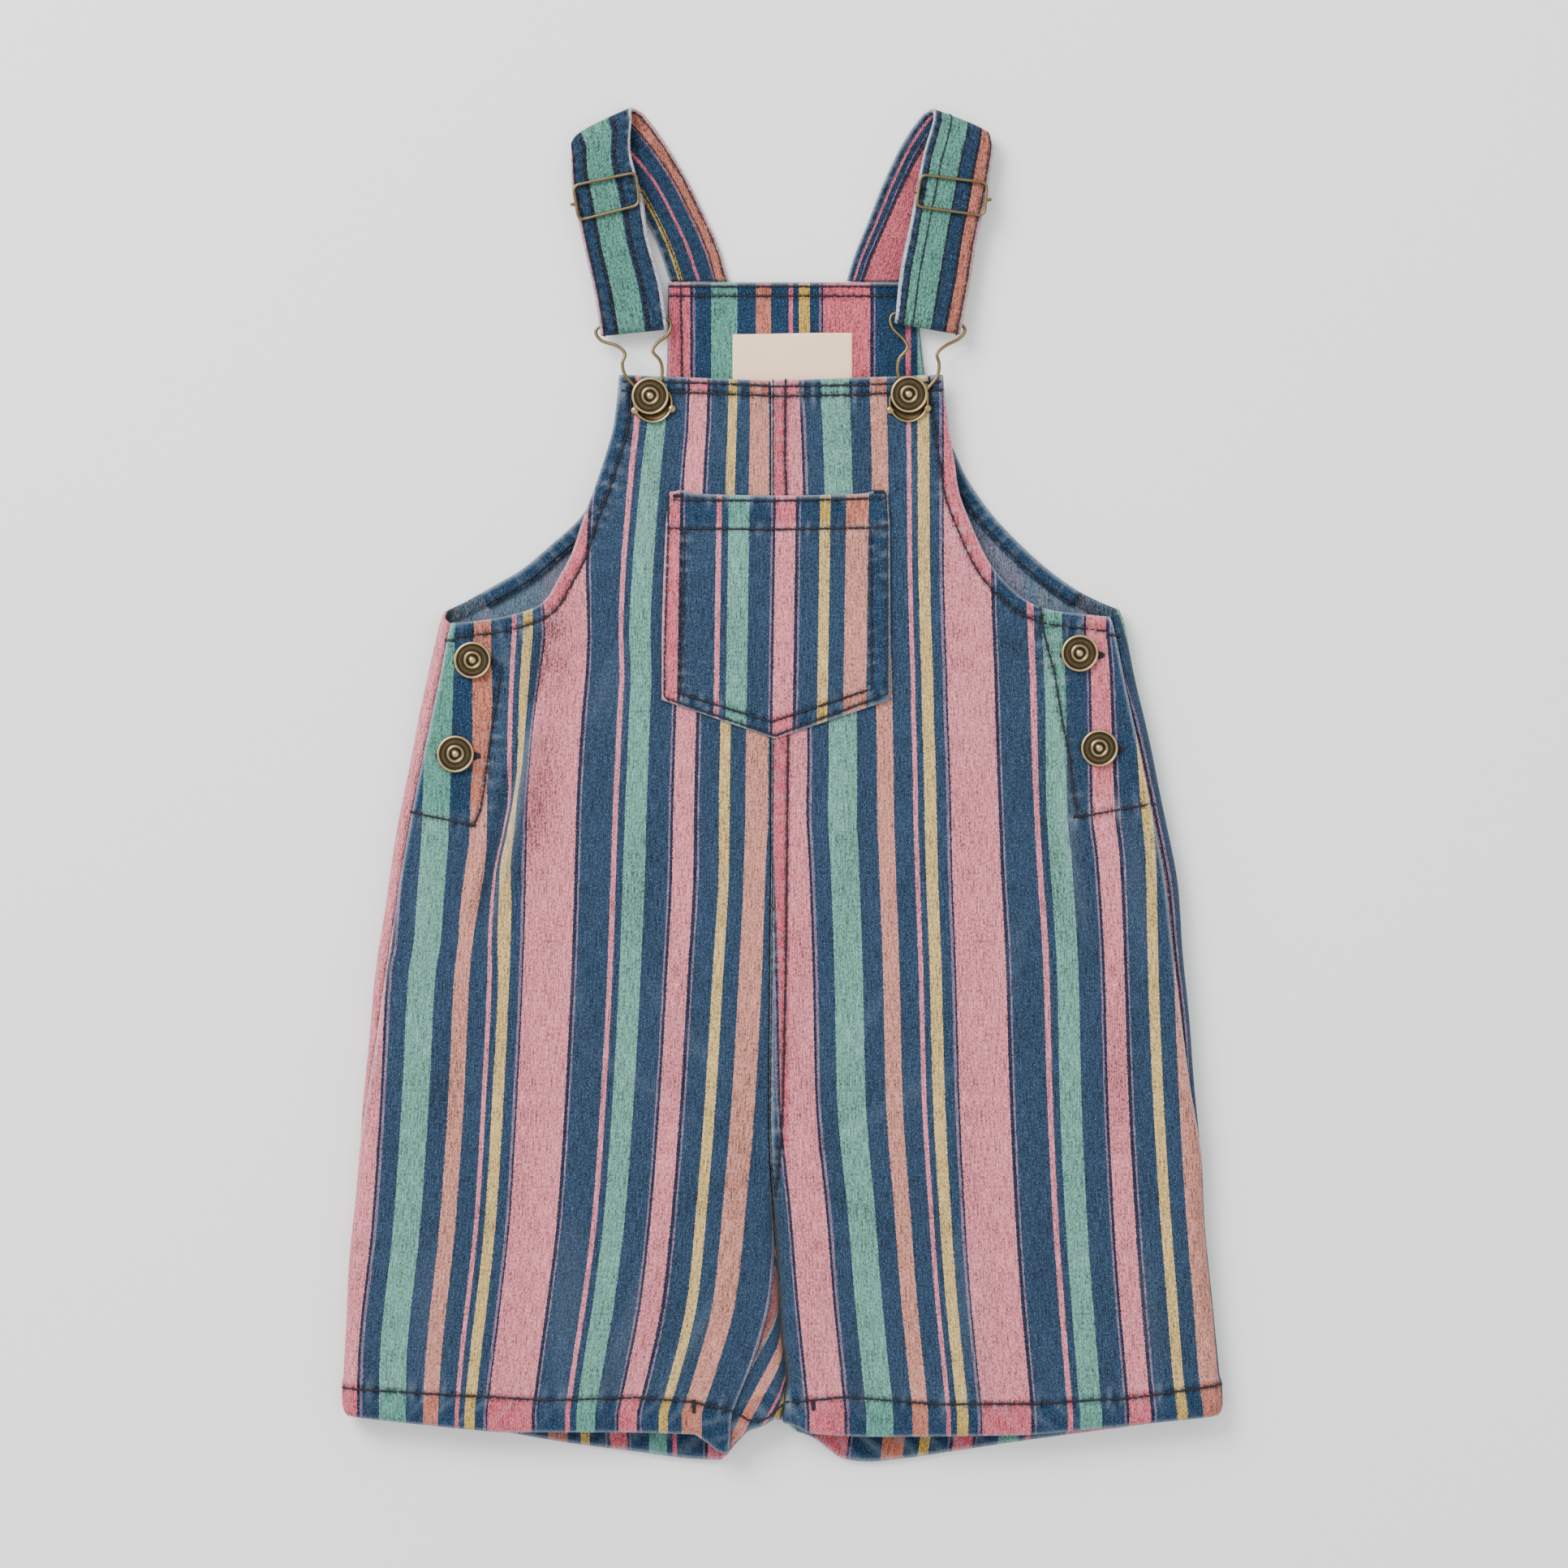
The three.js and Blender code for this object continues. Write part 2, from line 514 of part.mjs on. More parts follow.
function chestPocket() {
  const { sides, point } = pocket;
  const [high, low] = [sides[0].y, sides[sides.length - 1].y];
  const edge = (column) => (v) => {
    const y = mix(high, low, v);
    return { x: read(sides, y, 'y', column), y };
  };
  // the lower edge runs down to the point in the middle
  const drop = (u, v) => {
    const x = mix(edge('left')(1).x, edge('right')(1).x, u);
    const half = x < point.x ? point.x - edge('left')(1).x : edge('right')(1).x - point.x;
    return (point.y - low) * (1 - Math.abs(x - point.x) / half) * v;
  };
  return overFront(10, 8, edge('left'), edge('right'), drop, pocketWall);
}

// Flat piece on the inside of the back, between two edges given by level
function insideBack(columns, rows, high, low, leftAt, rightAt, floor, thickness) {
  return clothWall(evenly(columns), evenly(rows), (u, v) => {
    const y = mix(high, low, v);
    const x = mix(leftAt(y), rightAt(y), u);
    const point = new THREE.Vector3(x, y, floor + thickness);
    return { point, normal: new THREE.Vector3(0, 0, 1), depths: [0, thickness] };
  });
}

const backEdgeAt = (side, inset) => (y) => (
  sign[side] * (read(backArmhole[side], y, 'y', 'out') - inset)
);

// Turned band along the armhole, on the inside of the back
function armholeBand(side) {
  const rows = backArmhole[side].filter((row) => row.y < bandTopY);
  const curve = armholeCurve(rows);
  return clothWall(evenly(2), evenly(14), (u, v) => {
    const share = mix(0.01, bandEnd, v);
    const at = curve.getPointAt(share);
    const along = curve.getTangentAt(share);
    const inward = new THREE.Vector2(along.y, -along.x);
    const place = at.addScaledVector(inward, bandWidth * u + seamGap);
    const s = section(side, place.y);
    const c = s.total - (place.x - s.inner);
    const deep = wall + liftOff;
    return { point: skin(side, c, place.y), normal: facing(side, c, place.y), depths: [deep, deep + bandWall] };
  });
}

// Button stand under the side opening
function underlapStrip(side) {
  return clothWall(evenly(8), evenly(7), (u, v) => {
    const y = mix(underlap.top, underlap.low, v);
    const c = sideSeam(side, y) + mix(-underlap.inside, underlap.outside, u);
    const deep = wall + liftOff;
    return { point: skin(side, c, y), normal: facing(side, c, y), depths: [deep, deep + underlap.wall] };
  });
}

// Half turn of a strap round its fold line: the line moves out to `line` and back
function halfTurn(line, away, radius, zFrom, zTo, steps) {
  const middle = (zFrom + zTo) / 2;
  return Array.from({ length: steps + 1 }, (unused, n) => {
    const turn = Math.PI * (n / steps - 0.5);
    const back = radius * (1 - Math.cos(turn));
    const z = middle + ((zTo - zFrom) / 2) * Math.sin(turn);
    return {
      ox: line.ox - away.x * back, oy: line.oy - away.y * back,
      ix: line.ix - away.x * back, iy: line.iy - away.y * back, z,
    };
  });
}

// Strap: up from the back bib, over the roll, down through the slider, round the hook's bar
// and back under itself to the slider's middle bar
function strapSolid(side) {
  const { back, roll, front, loop } = straps[side];
  const { bar } = sliders[side];
  const rollRadius = (strapLevel.front - strapLevel.back) / 2;
  const level = (rows, z) => rows.map((row) => ({ ...row, z }));
  const across = (line) => new THREE.Vector2(line.ox - line.ix, line.oy - line.iy).normalize();
  const rollAcross = across(roll);
  const rollAway = new THREE.Vector2(-rollAcross.y, rollAcross.x);
  if (rollAway.y < 0) rollAway.negate();
  const loopAcross = across(loop);
  const loopAway = new THREE.Vector2(-loopAcross.y, loopAcross.x);
  if (loopAway.y > 0) loopAway.negate();
  const barMiddleY = (bar[0].y + bar[1].y) / 2;
  const atBar = (row) => Math.abs((row.oy + row.iy) / 2 - barMiddleY) < 3;
  const run = front.map((row) => ({ ...row, z: atBar(row) ? strapLevel.slider : strapLevel.front }));
  const lowTop = strapLevel.bar + barLoopRadius;
  const under = level([...front].reverse().filter((row) => (row.oy + row.iy) / 2 < barMiddleY - 2), strapLevel.under);
  const keys = [
    ...level(back, strapLevel.back),
    ...halfTurn(roll, rollAway, rollRadius, strapLevel.back, strapLevel.front, 6),
    ...run,
    ...halfTurn(loop, loopAway, barLoopRadius, lowTop, strapLevel.bar - barLoopRadius, 6),
    ...under,
    underEnd(side),
  ];
  const outerEdge = new THREE.CatmullRomCurve3(keys.map((k) => new THREE.Vector3(k.ox, k.oy, k.z)));
  const innerEdge = new THREE.CatmullRomCurve3(keys.map((k) => new THREE.Vector3(k.ix, k.iy, k.z)));
  const steps = (keys.length - 1) * 2;
  const at = (t) => [outerEdge.getPoint(t), innerEdge.getPoint(t)];
  return clothWall(evenly(2), evenly(steps), (u, v) => {
    const [outer, inner] = at(v);
    const step = 0.002;
    const [o1, i1] = at(Math.min(1, v + step));
    const [o0, i0] = at(Math.max(0, v - step));
    const along = o1.add(i1).sub(o0).sub(i0);
    const normal = along.cross(inner.clone().sub(outer)).normalize().multiplyScalar(sign[side]);
    return { point: outer.lerp(inner, u), normal, depths: [-strapWall / 2, strapWall / 2] };
  });
}

// Far end of the strap's under-layer, just short of the slider's middle bar
function underEnd(side) {
  const [outside, inside] = side === 'right' ? sliders.right.bar : [...sliders.left.bar].reverse();
  const short = wireRadius + 0.5;
  const inset = 3.2;
  const slope = (inside.y - outside.y) / (inside.x - outside.x);
  const ox = outside.x - sign[side] * inset;
  const ix = inside.x + sign[side] * inset;
  return {
    ox, oy: outside.y + slope * (ox - outside.x) - short,
    ix, iy: outside.y + slope * (ix - outside.x) - short, z: strapLevel.under,
  };
}

const circle = (radius, sides) => {
  const shape = new THREE.Shape();
  for (let n = 0; n < sides; n += 1) {
    const turn = (2 * Math.PI * (n + 0.5)) / sides;
    const [x, y] = [radius * Math.cos(turn), radius * Math.sin(turn)];
    if (n === 0) shape.moveTo(x, y);
    else shape.lineTo(x, y);
  }
  return shape;
};
const wireAlong = (points, radius, steps) => new THREE.ExtrudeGeometry(circle(radius, 7), {
  steps, extrudePath: new THREE.CatmullRomCurve3(points.map((p) => new THREE.Vector3(p.x, p.y, p.z))),
});

// Outline with rounded corners through four corner points
function roundedLoop(corners, radius, shape = new THREE.Shape()) {
  corners.forEach((corner, n) => {
    const here = new THREE.Vector2(corner.x, corner.y);
    const before = new THREE.Vector2(corners[(n + 3) % 4].x, corners[(n + 3) % 4].y);
    const after = new THREE.Vector2(corners[(n + 1) % 4].x, corners[(n + 1) % 4].y);
    const start = here.clone().lerp(before, radius / here.distanceTo(before));
    const end = here.clone().lerp(after, radius / here.distanceTo(after));
    if (n === 0) shape.moveTo(start.x, start.y);
    else shape.lineTo(start.x, start.y);
    shape.quadraticCurveTo(here.x, here.y, end.x, end.y);
  });
  return shape;
}

// Slider: a wire frame with a lower bar from side to side, which the strap passes over
function sliderSolid(side) {
  const { corners, bar } = sliders[side];
  const middle = corners.reduce((sum, p) => ({ x: sum.x + p.x / 4, y: sum.y + p.y / 4 }), { x: 0, y: 0 });
  const towards = (by) => corners.map((p) => {
    const arm = new THREE.Vector2(p.x - middle.x, p.y - middle.y);
    return { x: p.x - by * Math.sign(arm.x), y: p.y - by * Math.sign(arm.y) };
  });
  const outline = roundedLoop(corners, 2.4);
  outline.holes.push(roundedLoop(towards(2 * wireRadius).reverse(), 1.2, new THREE.Path()));
  const frame = new THREE.ExtrudeGeometry(outline, {
    depth: 2 * wireRadius, bevelEnabled: false, curveSegments: 3,
  });
  frame.translate(0, 0, sliderLevel - wireRadius);
  const [a, b] = bar;
  const at = (t, z) => ({ x: mix(a.x, b.x, t), y: mix(a.y, b.y, t), z });
  const drop = [
    at(0.075, sliderLevel), at(0, sliderLevel - 1.2), at(0.012, sliderBarLevel + 0.5), at(0.06, sliderBarLevel),
    at(0.5, sliderBarLevel),
    at(0.94, sliderBarLevel), at(0.988, sliderBarLevel + 0.5), at(1, sliderLevel - 1.2), at(0.925, sliderLevel),
  ];
  return join(frame, wireAlong(drop, wireRadius * 0.9, 24));
}

// Hook: one wire round the strap's loop, on a stamped plate that holds the bib button
function hookSolid(side) {
  const { wire, plate, button } = hooks[side];
  const shape = new THREE.Shape();
  shape.absarc(plate.x, plate.y, hookPlate.radius, 0, 2 * Math.PI);
  const hole = new THREE.Path();
  hole.absarc(button.x, button.y, hookPlate.hole, 0, 2 * Math.PI, true);
  shape.holes.push(hole);
  const stamped = new THREE.ExtrudeGeometry(shape, {
    depth: hookPlate.thickness, bevelEnabled: false, curveSegments: 10,
  });
  stamped.translate(0, 0, hookPlate.low);
  return join(stamped, wireAlong(wire, hookWireRadius, 44));
}

// Jeans button turned on its axis: a neck of the given height and a domed, ringed head
function buttonSolid(x, y, z, neck) {
  const profile = [
    [0, 0], [2.8, 0], [2.8, neck], [7.3, neck], [buttonRadius, neck + 0.7], [7.7, neck + 1.5],
    [6.4, neck + 1.8], [5.2, neck + 1.3], [4, neck + 1.7], [2.2, neck + 2.3], [0, neck + 2.5],
  ].map(([r, h]) => new THREE.Vector2(r, h));
  const geometry = new THREE.LatheGeometry(profile, 16);
  geometry.rotateX(Math.PI / 2);
  geometry.translate(x, y, z);
  return outward(geometry);
}

const frontTop = (x, y) => read(heightRows, y, 'y', 'height') + foldRise(x, y);

for (const side of ['right', 'left']) {
  add(`front_${side}`, frontPanel(side), denim);
  add(`back_${side}`, backPanel(side), denim);
  add(`armhole_band_${side}`, armholeBand(side), denim);
  add(`underlap_${side}`, underlapStrip(side), denim);
  add(`strap_${side}`, strapSolid(side), denim);
  add(`slider_${side}`, sliderSolid(side), brass);
  add(`hook_${side}`, hookSolid(side), brass);
  const { x, y } = hooks[side].button;
  add(`bib_button_${side}`, buttonSolid(x, y, frontTop(x, y) + liftOff, 1.9), brass);
}
for (const { name, x, y } of sideButtons) {
  add(name, buttonSolid(x, y, frontTop(x, y) + liftOff, 0.9), brass);
}
add('chest_pocket', chestPocket(), denim);

const facingEdge = (side) => backEdgeAt(side, 0.6);
add('back_facing', insideBack(
  8, 8, backBibTop - 0.2, facingLow, facingEdge('right'), facingEdge('left'), wall + liftOff, facingWall,
), denim);
add('neck_label', insideBack(
  4, 4, label.top, label.low, () => label.left, () => label.right,
  wall + liftOff + facingWall + liftOff, labelWall,
), cotton);

export default group;
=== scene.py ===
import math

import bpy
import numpy as np
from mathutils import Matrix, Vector


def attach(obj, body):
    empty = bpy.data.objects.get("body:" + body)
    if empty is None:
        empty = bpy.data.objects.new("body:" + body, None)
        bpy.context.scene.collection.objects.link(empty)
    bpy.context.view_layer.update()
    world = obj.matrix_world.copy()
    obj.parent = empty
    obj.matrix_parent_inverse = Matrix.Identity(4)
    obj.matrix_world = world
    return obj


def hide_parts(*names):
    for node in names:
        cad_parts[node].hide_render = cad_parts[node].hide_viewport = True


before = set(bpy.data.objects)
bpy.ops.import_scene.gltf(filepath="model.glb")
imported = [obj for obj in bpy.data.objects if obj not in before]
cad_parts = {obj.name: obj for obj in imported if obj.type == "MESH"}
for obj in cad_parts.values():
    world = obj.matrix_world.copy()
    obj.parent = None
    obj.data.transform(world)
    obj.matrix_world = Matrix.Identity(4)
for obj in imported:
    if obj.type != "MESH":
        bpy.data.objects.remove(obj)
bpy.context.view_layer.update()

mm = 0.001
sides = ("right", "left")                 # the wearer's right and left
sign = {"right": -1.0, "left": 1.0}


# curves through the measured points, in millimetres
def smoothTable(rows):
    # value between the rows of a table, with no overshoot
    at, value = np.array(sorted(rows), float).T
    span = np.diff(at)
    rate = np.diff(value) / span
    slope = np.empty_like(at)
    slope[0], slope[-1] = rate[0], rate[-1]
    before, after = rate[:-1], rate[1:]
    same = before * after > 0
    slope[1:-1] = np.where(same, 2 * before * after / np.where(same, before + after, 1), 0)

    def read(x):
        x = np.clip(x, at[0], at[-1])
        i = np.clip(np.searchsorted(at, x, side="right") - 1, 0, len(span) - 1)
        t = (x - at[i]) / span[i]
        return (value[i] * (2 * t**3 - 3 * t**2 + 1) + slope[i] * span[i] * (t**3 - 2 * t**2 + t)
                + value[i + 1] * (3 * t**2 - 2 * t**3) + slope[i + 1] * span[i] * (t**3 - t**2))
    return read


def mix(a, b, t):
    return a + (b - a) * t


def ease(t):
    t = np.clip(t, 0, 1)
    return t * t * (3 - 2 * t)


def hump(offset, width):
    return np.exp(-(offset / width)**2)


def unevenSteps(marks, counts, closed=True):
    # shares from mark to mark, with a count of steps for each stretch
    return np.concatenate([np.linspace(a, b, count, endpoint=closed and b == marks[-1])
                           for a, b, count in zip(marks, marks[1:], counts)])


def evenPath(points):
    # points at shares of a path's length
    points = np.asarray(points, float)
    run = np.concatenate([[0], np.cumsum(np.linalg.norm(np.diff(points, axis=0), axis=1))])

    def at(share):
        return np.stack([np.interp(np.asarray(share) * run[-1], run, points[:, k])
                         for k in range(points.shape[1])], axis=-1)
    at.length = run[-1]
    return at


def curvedPath(points, per=24):
    # uniform spline through the points, then read by length
    p = np.asarray(points, float)
    p = np.vstack([p[0], p, p[-1]])
    t = np.linspace(0, 1, per, endpoint=False)[:, None]
    runs = []
    for a, b, c, d in zip(p[:-3], p[1:-2], p[2:-1], p[3:]):
        v0, v1 = (c - a) / 2, (d - b) / 2
        runs.append((2 * b - 2 * c + v0 + v1) * t**3 + (-3 * b + 3 * c - 2 * v0 - v1) * t**2 + v0 * t + b)
    return evenPath(np.vstack(runs + [p[-1:]]))


def spreadPath(keys):
    # spline whose parameter moves evenly from key to key
    p = np.asarray(keys, float)
    p = np.vstack([2 * p[0] - p[1], p, 2 * p[-1] - p[-2]])

    def at(t):
        t = np.atleast_1d(np.asarray(t, float)) * (len(keys) - 1)
        i = np.clip(t.astype(int), 0, len(keys) - 2)
        w = (t - i)[:, None]
        a, b, c, d = p[i], p[i + 1], p[i + 2], p[i + 3]
        d0, d1, d2 = (np.sqrt(np.linalg.norm(v, axis=1))[:, None] for v in (b - a, c - b, d - c))
        m0 = ((b - a) / d0 - (c - a) / (d0 + d1) + (c - b) / d1) * d1
        m1 = ((c - b) / d1 - (d - b) / (d1 + d2) + (d - c) / d2) * d1
        return ((2 * b - 2 * c + m0 + m1) * w**3 + (-3 * b + 3 * c - 2 * m0 - m1) * w**2 + m0 * w + b)
    return at


# the body of the garment
cut = {
    "seamGap": 0.3, "liftOff": 0.3, "sideFold": 0.55, "forkTop": -159.0, "forkLow": -194.0,
    "legParting": 0.25, "bibTop": 174.1, "backTop": 217.2, "rowTilt": 62.0,
    "cloth": 1.2, "hemCloth": 2.4, "columns": 96, "edgeColumns": 12, "bibRows": 80, "bodyRows": 168,
    "hemRows": 20, "hemFold": 16.0, "topFold": 7.0, "hemLevel": -270.0, "innerFace": 1.5,
}
heightAt = smoothTable([(300, 8), (150, 8.2), (110, 9.2), (69, 10.8), (0, 12), (-60, 12.6),
                        (-200, 13), (-300, 12.4)])
edgeAt = {
    "right": smoothTable([(150, 146), (76, 146.9), (69, 148.8), (44, 153.7), (9, 161), (-26, 167.7),
                          (-47, 171.2), (-82, 175.7), (-117, 179.2), (-152, 182.4), (-187, 185.5),
                          (-222, 188), (-257, 189.5), (-266, 189.7), (-275, 187.5), (-300, 184)]),
    "left": smoothTable([(150, 145), (76, 145.8), (69, 148.1), (44, 153.3), (9, 160.7), (-26, 167.7),
                         (-47, 171.2), (-82, 174.3), (-117, 177.1), (-152, 179.9), (-187, 182.7),
                         (-222, 185.7), (-257, 189.2), (-266, 189.7), (-275, 187.4), (-300, 184)]),
}
seamInset = smoothTable([(150, 5.7), (-50, 5.4), (-90, 4.4), (-120, 3), (-170, 0), (-300, 0)])
centreAt = smoothTable([(220, -4.9), (0, -4.9), (-145, -5.9), (-180, -4), (-192, -3), (-213, -1.5),
                        (-233, -0.6), (-256, 1.9), (-266, 1.4), (-272, 0), (-300, 0)])
inseamInset = {
    "right": smoothTable([(-150, 0), (-195, 0.4), (-222, 3.5), (-239, 8.8), (-257, 17.5), (-269, 21),
                          (-300, 23)]),
    "left": smoothTable([(-150, 0), (-300, 0)]),
}
frontArmhole = {
    "right": [(70.4, 176.7), (71.9, 161), (73.9, 150), (80.9, 128), (85.1, 117), (90.7, 100),
              (96.8, 88.4), (101.2, 80.6), (106.8, 76.3), (118.7, 72.6), (131.3, 70.6), (143.1, 69.5)],
    "left": [(69.3, 176.7), (70.2, 166), (72.1, 152), (74.3, 138.6), (76.2, 126), (81, 113),
             (86.8, 100), (91.7, 92.2), (98.9, 84.3), (106.1, 78.8), (115.3, 75.3), (128, 73.6),
             (141.4, 72.2)],
}
backArmhole = {
    "right": [(49.4, 217.2), (50.1, 177), (53.2, 161.5), (60.9, 146), (71.4, 133.5), (81.5, 123.4),
              (88.7, 114), (99.9, 103.9), (112.4, 93.3), (125, 85.9), (137.4, 78.9), (145, 75.6)],
    "left": [(57.4, 217.2), (61.6, 177), (66, 161.5), (74.2, 144.4), (79.6, 132.8), (88.2, 120),
             (97.4, 109.4), (111.7, 95.7), (126, 85), (136.7, 79.3), (144, 76.4)],
}
frontHem = smoothTable([(-190, -272), (-137, -277.7), (-120, -279), (-81, -279), (-38, -279.8),
                        (-33, -282.5), (-24, -288), (-22, -288), (2, -275.5), (13, -279.5),
                        (40, -280.9), (104, -280.2), (137, -277.4), (190, -272)])
backHem = smoothTable([(-190, -272), (-156, -276), (-135, -278), (-94, -284.7), (-67, -288.2),
                       (-38, -291.7), (-28, -292), (-24, -288), (-14, -278.7), (-7, -276),
                       (-2, -273.5), (2, -275.5), (5, -279), (13, -282), (28, -291.7), (38, -292.8),
                       (51, -291.7), (76, -288.2), (99, -284.7), (137, -279.5), (163, -276), (190, -272)])

# creases of the front: from one end to the other, half width, and rise or fall
frontCreases = [
    (-110, 40, -128, -70, 9, 2), (-122, 20, -140, -64, 6, -1.4), (-70, -105, -18, -158, 11, -1.3),
    (62, -105, 12, -158, 11, -1.3), (-34, -190, -62, -276, 12, -1.6), (-120, -170, -118, -276, 18, -1.2),
    (34, -190, 46, -276, 12, -1.2), (118, -170, 128, -276, 18, -1.2), (-78, 118, -66, 60, 9, -0.8),
]
smallCreases = [
    (-108, 30, -126, -64, 3.4, 2.0), (-114, 18, -132, -58, 3.0, -1.7), (-100, 22, -112, -44, 3.2, -0.9),
    (-66, 62, -74, -20, 3.6, 0.5), (118, 4, 132, -70, 3.4, 0.9), (110, -4, 124, -74, 3.2, -0.7),
    (-104, 34, -120, -40, 3.4, 1.1), (-113, 10, -127, -58, 2.8, -1.0), (-96, 20, -104, -30, 5, -0.6),
    (-60, -84, -22, -132, 4, 0.7), (-86, -112, -30, -150, 4.4, 0.6), (-48, -128, -10, -165, 3.6, -0.7),
    (52, -80, 18, -128, 4.2, 0.6), (84, -118, 24, -152, 4.6, 0.7), (40, -132, 8, -166, 3.4, -0.6),
    (-12, -70, -9, -120, 3.2, 0.4), (8, -64, 6, -118, 3.4, -0.4), (-30, -20, -22, -66, 6, 0.5),
    (32, -16, 26, -70, 6, -0.5), (-70, 60, -84, 20, 6, 0.6), (74, 52, 86, 8, 6.5, 0.6),
    (-58, 150, -60, 96, 5, 0.5), (58, 152, 60, 92, 5, 0.5), (-24, 168, -26, 134, 5, 0.3),
    (26, 168, 24, 134, 5, -0.35), (92, 66, 112, 50, 4, -0.7), (-90, 74, -112, 58, 4, -0.7),
    (-150, -20, -160, -90, 6, 0.6), (150, -10, 158, -84, 6, 0.6), (-140, -96, -150, -168, 8, -0.6),
    (142, -100, 150, -170, 8, -0.6), (-88, -182, -96, -262, 9, 0.7), (-54, -200, -78, -268, 6, 0.8),
    (-24, -214, -52, -262, 4, 0.9), (-150, -188, -152, -262, 10, 0.6), (78, -184, 84, -262, 10, 0.7),
    (14, -204, 24, -266, 5, 0.6), (152, -186, 160, -262, 9, 0.6), (-8, -166, -42, -186, 4, -0.6),
    (6, -168, 44, -190, 4, -0.6), (-100, -60, -84, -110, 7, 0.5), (104, -50, 92, -108, 7, 0.5),
    (120, 30, 128, -28, 4, 0.6), (112, 22, 120, -36, 3.4, -0.5), (-130, 66, -146, 40, 3.4, 0.5),
    (128, 66, 144, 38, 3.4, 0.5), (-60, -20, -66, -76, 7, -0.45), (62, -30, 66, -86, 7, 0.4),
    (-99, 74, -110, 24, 3.6, -1.2), (-92, 78, -98, 28, 8, -0.7),
]
# creases pressed up into the underside, which otherwise lies flat
backCreases = [
    (-96, 90, -110, 20, 7, 0.9), (88, 96, 104, 30, 6, 0.8), (-40, 60, -52, -30, 9, 0.7),
    (46, 40, 60, -50, 8, 0.8), (-70, -70, -14, -150, 8, 1.0), (60, -64, 10, -148, 7, 1.0),
    (-130, 0, -140, -80, 9, 0.8), (132, -6, 146, -90, 10, 0.7), (-60, -190, -74, -272, 9, 0.9),
    (-120, -180, -128, -270, 11, 0.8), (50, -186, 58, -276, 10, 0.9), (124, -176, 132, -270, 9, 0.8),
    (-8, 190, -14, 120, 8, 0.5), (20, 200, 26, 130, 7, 0.5),
]


def creaseRise(table, x, y):
    rise = np.zeros(np.broadcast(x, y).shape)
    for x0, y0, x1, y1, half, high in table:
        dx, dy = x1 - x0, y1 - y0
        along = np.clip(((x - x0) * dx + (y - y0) * dy) / (dx * dx + dy * dy), 0, 1)
        off = np.hypot(x - x0 - along * dx, y - y0 - along * dy) / half
        rise += high * np.exp(-off * off) * np.sin(math.pi * mix(0.12, 0.88, along))
    return rise


def frontRise(x, y):
    ripple = 0.16 * np.sin(x / 9.3 + 1.4 * np.sin(y / 31)) * np.sin(y / 17 + x / 44)
    return creaseRise(frontCreases, x, y) + creaseRise(smallCreases, x, y) + ripple


def section(side, y):
    # ring round one half at a level: over the front, round the outer fold, back along the surface
    y = np.asarray(y, float)
    height = heightAt(y)
    fork = ease((cut["forkTop"] - y) / (cut["forkTop"] - cut["forkLow"]))
    innerRadius = 0.5 * height * fork
    outerRadius = cut["sideFold"] * height
    inner = sign[side] * centreAt(y) + cut["seamGap"] / 2 + cut["legParting"] * fork
    outer = edgeAt[side](y)
    quarter = math.pi / 2 * innerRadius
    half = math.pi * np.sqrt((outerRadius**2 + (height / 2)**2) / 2)
    flat = outer - outerRadius - inner - innerRadius
    return {"height": height, "inner": inner, "outer": outer, "innerRadius": innerRadius,
            "outerRadius": outerRadius, "quarter": quarter, "half": half, "flat": flat,
            "total": 2 * quarter + 2 * flat + half, "closed": fork >= 1}


def placeOnFront(side, y, out):
    s = section(side, y)
    bend = out - (s["outer"] - s["outerRadius"])
    turn = np.arcsin(np.clip(bend / s["outerRadius"], 0, 1))
    return np.where(bend <= 0, s["quarter"] + out - s["inner"] - s["innerRadius"],
                    s["quarter"] + s["flat"] + s["half"] * turn / math.pi)


def sideSeam(side, y):
    return placeOnFront(side, y, edgeAt[side](y) - seamInset(y))


def inseam(side, y):
    s = section(side, y)
    inset = inseamInset[side](y)
    radius = np.maximum(s["innerRadius"], 1e-6)
    turn = np.arcsin(np.clip((radius - inset) / radius, 0, 1))
    bent = s["quarter"] * (1 - turn / (math.pi / 2))
    place = np.where(inset >= radius, s["quarter"] + inset - s["innerRadius"], bent)
    return np.where((inset == 0) | (s["innerRadius"] == 0), 0, place)


